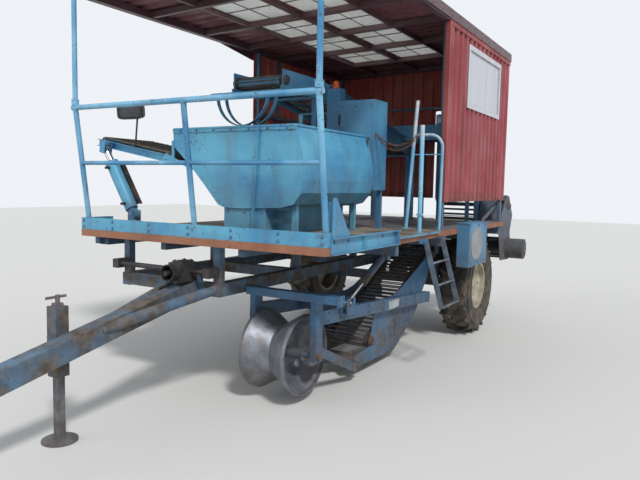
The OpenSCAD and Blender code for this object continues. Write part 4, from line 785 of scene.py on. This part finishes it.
bearing_iron = worn_steel("bearing_iron", (0.13, 0.15, 0.17), (0.07, 0.07, 0.08), rusty=0.6, metallic=0.3)
cross_z, table_z, table_head, table_slope = 2.2746, 2.552, 1.85, math.radians(11.02)
table_right, elevator_left, elevator_right = -0.524, 0.814, 0.276
shafts = [
    bearings(0.022, table_right, [(4.17, 2.10), (table_head, table_z), (1.215, table_z)]),
    bearings(elevator_left, elevator_right, [(4.56, 0.86), (4.46, cross_z + 0.15)]),
    bearings(0.794, 0.296, [(2.99, 0.725), (4.34, 1.0)]),
    fastened((bearing, every([-0.09, 0.80], [3.90], [cross_z]), ahead)),
]
make_piece("conveyor_bearings", joined(shafts), bearing_iron)
plate_run = np.linspace(2.0, 3.75, 12)
plate_z = table_z - (plate_run - table_head) * math.tan(table_slope) + 0.055
elevator_bolts = [4.50, 4.60], [1.05, 1.35, 1.65, 1.95, 2.2]
bolts = fastened(
    (small_bolt, np.stack([0 * plate_run + 0.022, plate_run, plate_z], -1), leftward),
    (small_bolt, np.stack([0 * plate_run + table_right, plate_run, plate_z], -1), rightward),
    (m12_bolt, every([elevator_left], *elevator_bolts), leftward),
    (m12_bolt, every([elevator_right], *elevator_bolts), rightward),
)
make_piece("conveyor_bolts", bolts, old_bolts, smooth=False)


# Webs. Rubber belts along both sides carry the rods: the rods are dull steel with dried soil on them.
def rod_web_finish(name, node, belt_width=0.032):
    """Black rubber within a belt's width of both sides of the node, steel between them."""
    material, shader, place = start_finish(name, roughness=0.75)
    low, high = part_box(node)
    across = reach_of(place, "X")
    on_left = worked("GREATER_THAN", across, high.x - belt_width)
    on_right = worked("LESS_THAN", across, low.x + belt_width)
    belts = worked("MAXIMUM", on_left, on_right)
    steel = mixed(clouds(place, 20, 0.35, 0.65), (0.07, 0.06, 0.05), (0.16, 0.145, 0.13))
    colour = mixed(belts, steel, (0.028, 0.026, 0.025))
    colour = mixed(clouds(place, 8, 0.42, 0.6, end=0.7), colour, soil)
    put(shader.inputs["Base Color"], colour)
    uneven(shader, clouds(place, 70, 0.3, 0.7), 0.0012)
    return material


for node in ("filling_web", "picking_web", "second_web", "rear_web", "dig_web"):
    dress(rod_web_finish(node + "_steel", node), node)


def dusty_rubber(name, colour, dust):
    """Black rubber with dust in its hollows."""
    material, shader, place = start_finish(name, roughness=0.7)
    fine_dust = clouds(place, 60, 0.3, 0.6, start=0.4)
    dusted = worked("MULTIPLY", clouds(place, 9, 0.4, 0.65), fine_dust)
    put(shader.inputs["Base Color"], mixed(dusted, colour, dust))
    put(shader.inputs["Roughness"], spread(dusted, 0, 1, 0.6, 0.95))
    uneven(shader, clouds(place, 120, 0.3, 0.7), 0.0006)
    return material


dress(dusty_rubber("web_rubber", (0.025, 0.024, 0.023), (0.10, 0.08, 0.06)), "hopper_web")
dress(dusty_rubber("dusty_web", (0.075, 0.062, 0.05), (0.19, 0.155, 0.12)), "elevator_web")


# Wheel guards and ladder brackets. Lidded sheet boxes hung from the platform's edge, with a row of
# bolts under the lid; the left one carries a blank oval plate, once pale.
dress(old_paint("guard_blue", (0.036, 0.155, 0.32), (0.08, 0.26, 0.42), soil_top=1.15, soiled=0.7), "wheel_guards")
guard_x = half_width + 0.126
guard_bolts = every([guard_x], np.linspace(2.65, 3.13, 3), [0.885, 1.262])
bolts = fastened((m12_bolt, guard_bolts, leftward), (m12_bolt, guard_bolts * [-1, 1, 1], rightward))
make_piece("guard_bolts", bolts, old_bolts, smooth=False)
plate_circle = circle(1, 48)[:, :2]


def side_plate(outline, centre):
    """A blank pressed plate on a left face: rings of its (y, z) outline, with a raised edge round it."""
    rings = [(0, 0), (1.0, 0), (1.0, 0.0030), (0.965, 0.0045), (0.93, 0.0030), (0.5, 0.0032), (0, 0.0032)]
    points = [np.insert(outline * scale, 0, proud, axis=1) + centre for scale, proud in rings]
    return on_machine(np.concatenate(points)), grid_faces(len(rings), len(outline), close_columns=True)


pale_plate = old_paint("pale_plate", (0.36, 0.37, 0.37), (0.25, 0.26, 0.27), soil_top=1.1, soiled=0.6, roughness=0.6)
oval = side_plate(plate_circle * [0.200, 0.165], (guard_x, 2.837, 1.075))
make_piece("oval_plate", oval, pale_plate)


# Haulm unit. The chute and the drum that throws the tops out behind, dark with sap and soil.
haulm_dark = worn_steel("haulm_dark", (0.12, 0.165, 0.22), (0.055, 0.08, 0.11), rusty=0.45, metallic=0.3, soil_top=1.3)
dress(haulm_dark, "haulm_roller")
drum_y, drum_z = 4.780, 0.870
# Columns taken in this order stand a level circle up across the machine.
stood_up = [2, 0, 1]
cap_bolts = circle(0.10, 8)[:, stood_up] + [half_width + 0.170, drum_y, drum_z]
drum_weld = [(half_width - 0.037, drum_y, drum_z)]
haulm_parts = [
    fastened((m12_bolt, cap_bolts, leftward), (weld_ring(0.1285, 0.004), drum_weld, leftward)),
    bearings(1.134, 0.826, [(drum_y, drum_z), (4.730, 1.420)]),
]
make_piece("haulm_fittings", joined(haulm_parts), haulm_dark)


# Wheels. Bar-lug tyres with moulded rings on their sidewalls and dried soil on the tread, on cream
# rims with a turned hub cap, a valve and stud ends.
tyre_rubber = dusty_rubber("tyre_rubber", (0.022, 0.021, 0.020), (0.15, 0.115, 0.08))
dress(tyre_rubber, "tyre_left", "tyre_right")
rim_cream = old_paint("rim_cream", (0.50, 0.45, 0.32), (0.58, 0.54, 0.42), soil_top=0.9, soiled=0.7)
dress(rim_cream, "rim_left", "rim_right")
half_tyre, bead_radius, wheel_z, wheel_y = 0.170, 0.2538, 0.540, 3.550
wall_profile = np.array([(bead_radius + 0.012, 0.8), (bead_radius + 0.070, 0.97), (0.454, 0.96), (0.500, 0.84)])
ring_radii = np.array([bead_radius + 0.030, bead_radius + 0.048, 0.360, 0.440, 0.452])
ring_out = np.interp(ring_radii, wall_profile[:, 0], wall_profile[:, 1]) * half_tyre


def moulded_ring(radius, out, thick):
    """A raised ring round a sidewall, half sunk into it."""
    return tube(circle(radius, 72, height=out), thick, 6, closed=True)


cap_profile = [(0, 0.056), (0.056, 0.056), (0.056, 0.064), (0.050, 0.066)]
cap_profile += [(0.046, 0.074), (0.036, 0.082), (0.020, 0.087), (0, 0.088)]
valve = turned_shape([(0, 0), (0.0045, 0), (0.0045, 0.03), (0.006, 0.031), (0.006, 0.042), (0, 0.043)], 10)
stud = turned_shape([(0, 0), (0.0055, 0), (0.0055, 0.010), (0.0045, 0.012), (0, 0.012)], 10)
rim_parts = [
    turned_shape(cap_profile, 28),
    repeated(valve, [(0.0, 0.225, 0.045)], (0, -0.35, 1)),
    repeated(stud, circle(0.088, 6, height=0.010), upward),
]
wall_rings = [moulded_ring(r, out, 0.0035 if n < 4 else 0.006) for n, (r, out) in enumerate(zip(ring_radii, ring_out))]
for side, sign in (("left", 1), ("right", -1)):
    centre = on_machine([(sign * 0.985, wheel_y, wheel_z)])
    rings = joined([repeated(ring, centre, (way, 0, 0)) for ring in wall_rings for way in (1, -1)])
    fittings = repeated(joined(rim_parts), centre, (sign, 0, 0))
    make_piece("sidewall_rings_" + side, rings, tyre_rubber, "wheel_" + side)
    make_piece("rim_fittings_" + side, fittings, rim_cream, "wheel_" + side)


# Digging unit. Dark blue side plates caked with soil, their blue darkened further as painted shade under
# the machine, arms rubbed bright blue, flanged ends and rows of bolts where the arms are joined to the plates.
# Painted shade: dig_blue is darker than the paint's own blue, to stand for the shade under the platform.
dig_blue = old_paint("dig_blue", (0.020, 0.10, 0.21), (0.04, 0.165, 0.30), soil_top=0.75, soiled=0.9, rusting=1.0)
dress(dig_blue, "dig_frame")
arm_out, arm_z, arm_fall = 0.850, 0.655, 0.072


def on_arm(run, up=0.0):
    """Points on the left arm's outer face: it starts at arm_z, half a metre back, and falls to the rear."""
    run = np.asarray(run, float)
    return np.stack([0 * run + arm_out, run, arm_z - arm_fall * (run - 0.5) + up], -1)


arm_run = [0.62, 0.80, 1.00, 1.30, 1.60, 2.10, 2.35, 2.50, 2.65]
bolts = fastened(
    (m12_bolt, np.concatenate([on_arm(arm_run, -0.028), on_arm(arm_run, 0.028)]), leftward),
    (small_bolt, every([1.061], [0.395, 0.455], [0.790, 0.840]), leftward),
)
make_piece("arm_bolts", bolts, dig_blue, "digging_unit", smooth=False)
web_bearings = bearings(0.788, 0.296, [(1.47, 0.275), (2.90, 0.925)])
make_piece("digging_bearings", web_bearings, rusty_iron, "digging_unit")

# A blank plate in the middle of the left arm, pale where it is rubbed clean.
plate_half, plate_corner = np.array([0.112, 0.037]), 0.008
arm_plate = np.sign(np.round(plate_circle, 6)) * (plate_half - plate_corner) + plate_circle * plate_corner
rubbed_plate = old_paint("rubbed_plate", (0.50, 0.54, 0.56), (0.40, 0.44, 0.47), soil_top=0.3, rusting=0.4)
make_piece("arm_plate", side_plate(arm_plate, on_arm(1.820)), rubbed_plate, "digging_unit")


# Ridge roller. Two cones back to back, ground bright by the ridge, on a dead axle with a clamped
# washer and nut at both ends.
polished = worn_steel(
    "polished_steel", (0.26, 0.28, 0.32), (0.16, 0.17, 0.19), rusty=0.3, roughness=0.42, metallic=0.75, soil_top=0.3
)
dress(polished, "ridge_roller")
axle_washer = turned_shape([(0, 0), (0.034, 0), (0.034, 0.005), (0, 0.005)], 20)
axle_nut = turned_shape([(0, 0.004), (0.026, 0.004), (0.026, 0.022), (0.022, 0.025), (0, 0.025)], 6)
axle_nut = joined([axle_washer, axle_nut])
roller_y, roller_z = 0.470, 0.372
lips = []
for side in (-1, 1):
    lip = circle(0.300, 64)[:, stood_up] + [0.545 + side * 0.1985, roller_y, roller_z]
    lips.append(tube(on_machine(lip), 0.0042, 6, closed=True))
make_piece("roller_lips", joined(lips), polished, "ridge_roller_body")
nuts = fastened((axle_nut, (0.841, roller_y, roller_z), leftward), (axle_nut, (0.243, roller_y, roller_z), rightward))
make_piece("roller_axle_nuts", nuts, rusty_iron, "digging_unit", smooth=False)
chromed = worn_steel("chromed_rod", (0.62, 0.63, 0.65), (0.50, 0.51, 0.53), 0.1, 0.15, metallic=1.0, soil_top=0.0)
dress(chromed, "elevator_ram_rod", "dig_ram_rod")


# Work lamp. A moulded housing with rounded edges, a ribbed rim and a pressed glass lens, on a
# steel stalk that stands on the discharge elevator. It has the CAD lamp's place, turn and size.
lean = math.radians(10)
elevator_hinge = np.array([-0.735, 0, 1.838])


def on_elevator(points):
    """Carries points that are measured along the discharge elevator to their place on the machine."""
    turned = Matrix.Rotation(lean, 3, "Y") @ Matrix.Scale(-1, 3, (1, 0, 0))
    return np.asarray(points, float) @ np.array(turned).T + elevator_hinge


def turned_by(degrees, axis):
    """A turn about one axis."""
    return Matrix.Rotation(math.radians(degrees), 4, axis)


# The stalk's and the housing's place and turn, as in the part's source.
stalk_pose = Matrix.Translation((0.402, 0.540, 0.031)) @ turned_by(4, "Y")
head_pose = stalk_pose @ Matrix.Translation((0.070, 0, 0.312)) @ turned_by(-24, "Z") @ turned_by(8, "Y")


def super_ellipse(width, height, power, count=40):
    """An outline between an ellipse and its box: the higher the power, the squarer it is."""
    even = circle(1, count)[:, :2]
    return np.sign(even) * np.abs(even) ** (2 / power) * [width / 2, height / 2]


def lamp_shell(stations):
    """Outlines of (depth, width, height) joined along y: the lamp's body from its back to its rim."""
    rings = [np.insert(super_ellipse(width, height, 5), 1, depth, axis=1) for depth, width, height in stations]
    return np.concatenate(rings), grid_faces(len(rings), 40, close_columns=True)


def posed(shape, pose):
    """A shape of the lamp carried to the machine."""
    points, faces = shape
    turn = np.array(pose)
    return on_machine(on_elevator(points @ turn[:3, :3].T + turn[:3, 3])), faces


housing_stations = [(0.056, 0, 0), (0.056, 0.110, 0.055), (0.050, 0.190, 0.100), (0.030, 0.212, 0.124)]
housing_stations += [(-0.040, 0.220, 0.132), (-0.043, 0.236, 0.148), (-0.057, 0.236, 0.148)]
housing_stations += [(-0.057, 0.214, 0.126), (-0.046, 0.208, 0.120), (-0.045, 0, 0)]
stalk = tube([(0, 0, 0.004), (0, 0, 0.13), (0, 0, 0.262)], 0.008, 10)
lamp_black = two_toned("lamp_black", (0.030, 0.031, 0.033), (0.075, 0.072, 0.066), 0.55, (30, 0.4, 0.65), grain=260)
lamp_parts = joined([posed(lamp_shell(housing_stations), head_pose), posed(stalk, stalk_pose)])
lamp_body = make_piece("lamp_body", lamp_parts, lamp_black, "discharge_elevator")
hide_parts("work_lamp")
lens_stations = [(-0.046, 0, 0), (-0.046, 0.210, 0.122), (-0.050, 0.202, 0.114), (-0.053, 0.150, 0.085), (-0.054, 0, 0)]
lens = posed(lamp_shell(lens_stations), head_pose)
lens_glass, shader, place = start_finish("lens_glass", roughness=0.12)
flutes = shader.id_data.nodes.new("ShaderNodeTexWave")
flutes.bands_direction = "X"
put(flutes.inputs["Scale"], 40)
put(flutes.inputs["Vector"], place)
# Painted sheen: the lens is striped lighter and darker along its flutes, standing for light that the flutes catch.
painted_flute_sheen = mixed(flutes.outputs["Fac"], (0.045, 0.052, 0.060), (0.10, 0.11, 0.125))
put(shader.inputs["Base Color"], painted_flute_sheen)
uneven(shader, flutes.outputs["Fac"], 0.001)
make_piece("lamp_lens", lens, lens_glass, "discharge_elevator")


# Ram fittings. A steel port with its hexagon nut at each end of the big ram's barrel, capped.
ram_lean = math.radians(122.0)
ram_way = np.array([math.cos(ram_lean), 0, math.sin(ram_lean)])
port_nut = turned_shape([(0, 0), (0.014, 0), (0.014, 0.014), (0, 0.014)], 6)
port_stub = turned_shape([(0, 0.013), (0.009, 0.013), (0.009, 0.03), (0.012, 0.031), (0.012, 0.043), (0, 0.044)], 12)
port_places = [ram_base + ram_way * reach + [0, -0.054, 0] for reach in (0.11, 0.48)]
ports = fastened((joined([port_nut, port_stub]), port_places, ahead))
make_piece("ram_ports", ports, dark_steel, "elevator_ram_barrel_body", smooth=False)
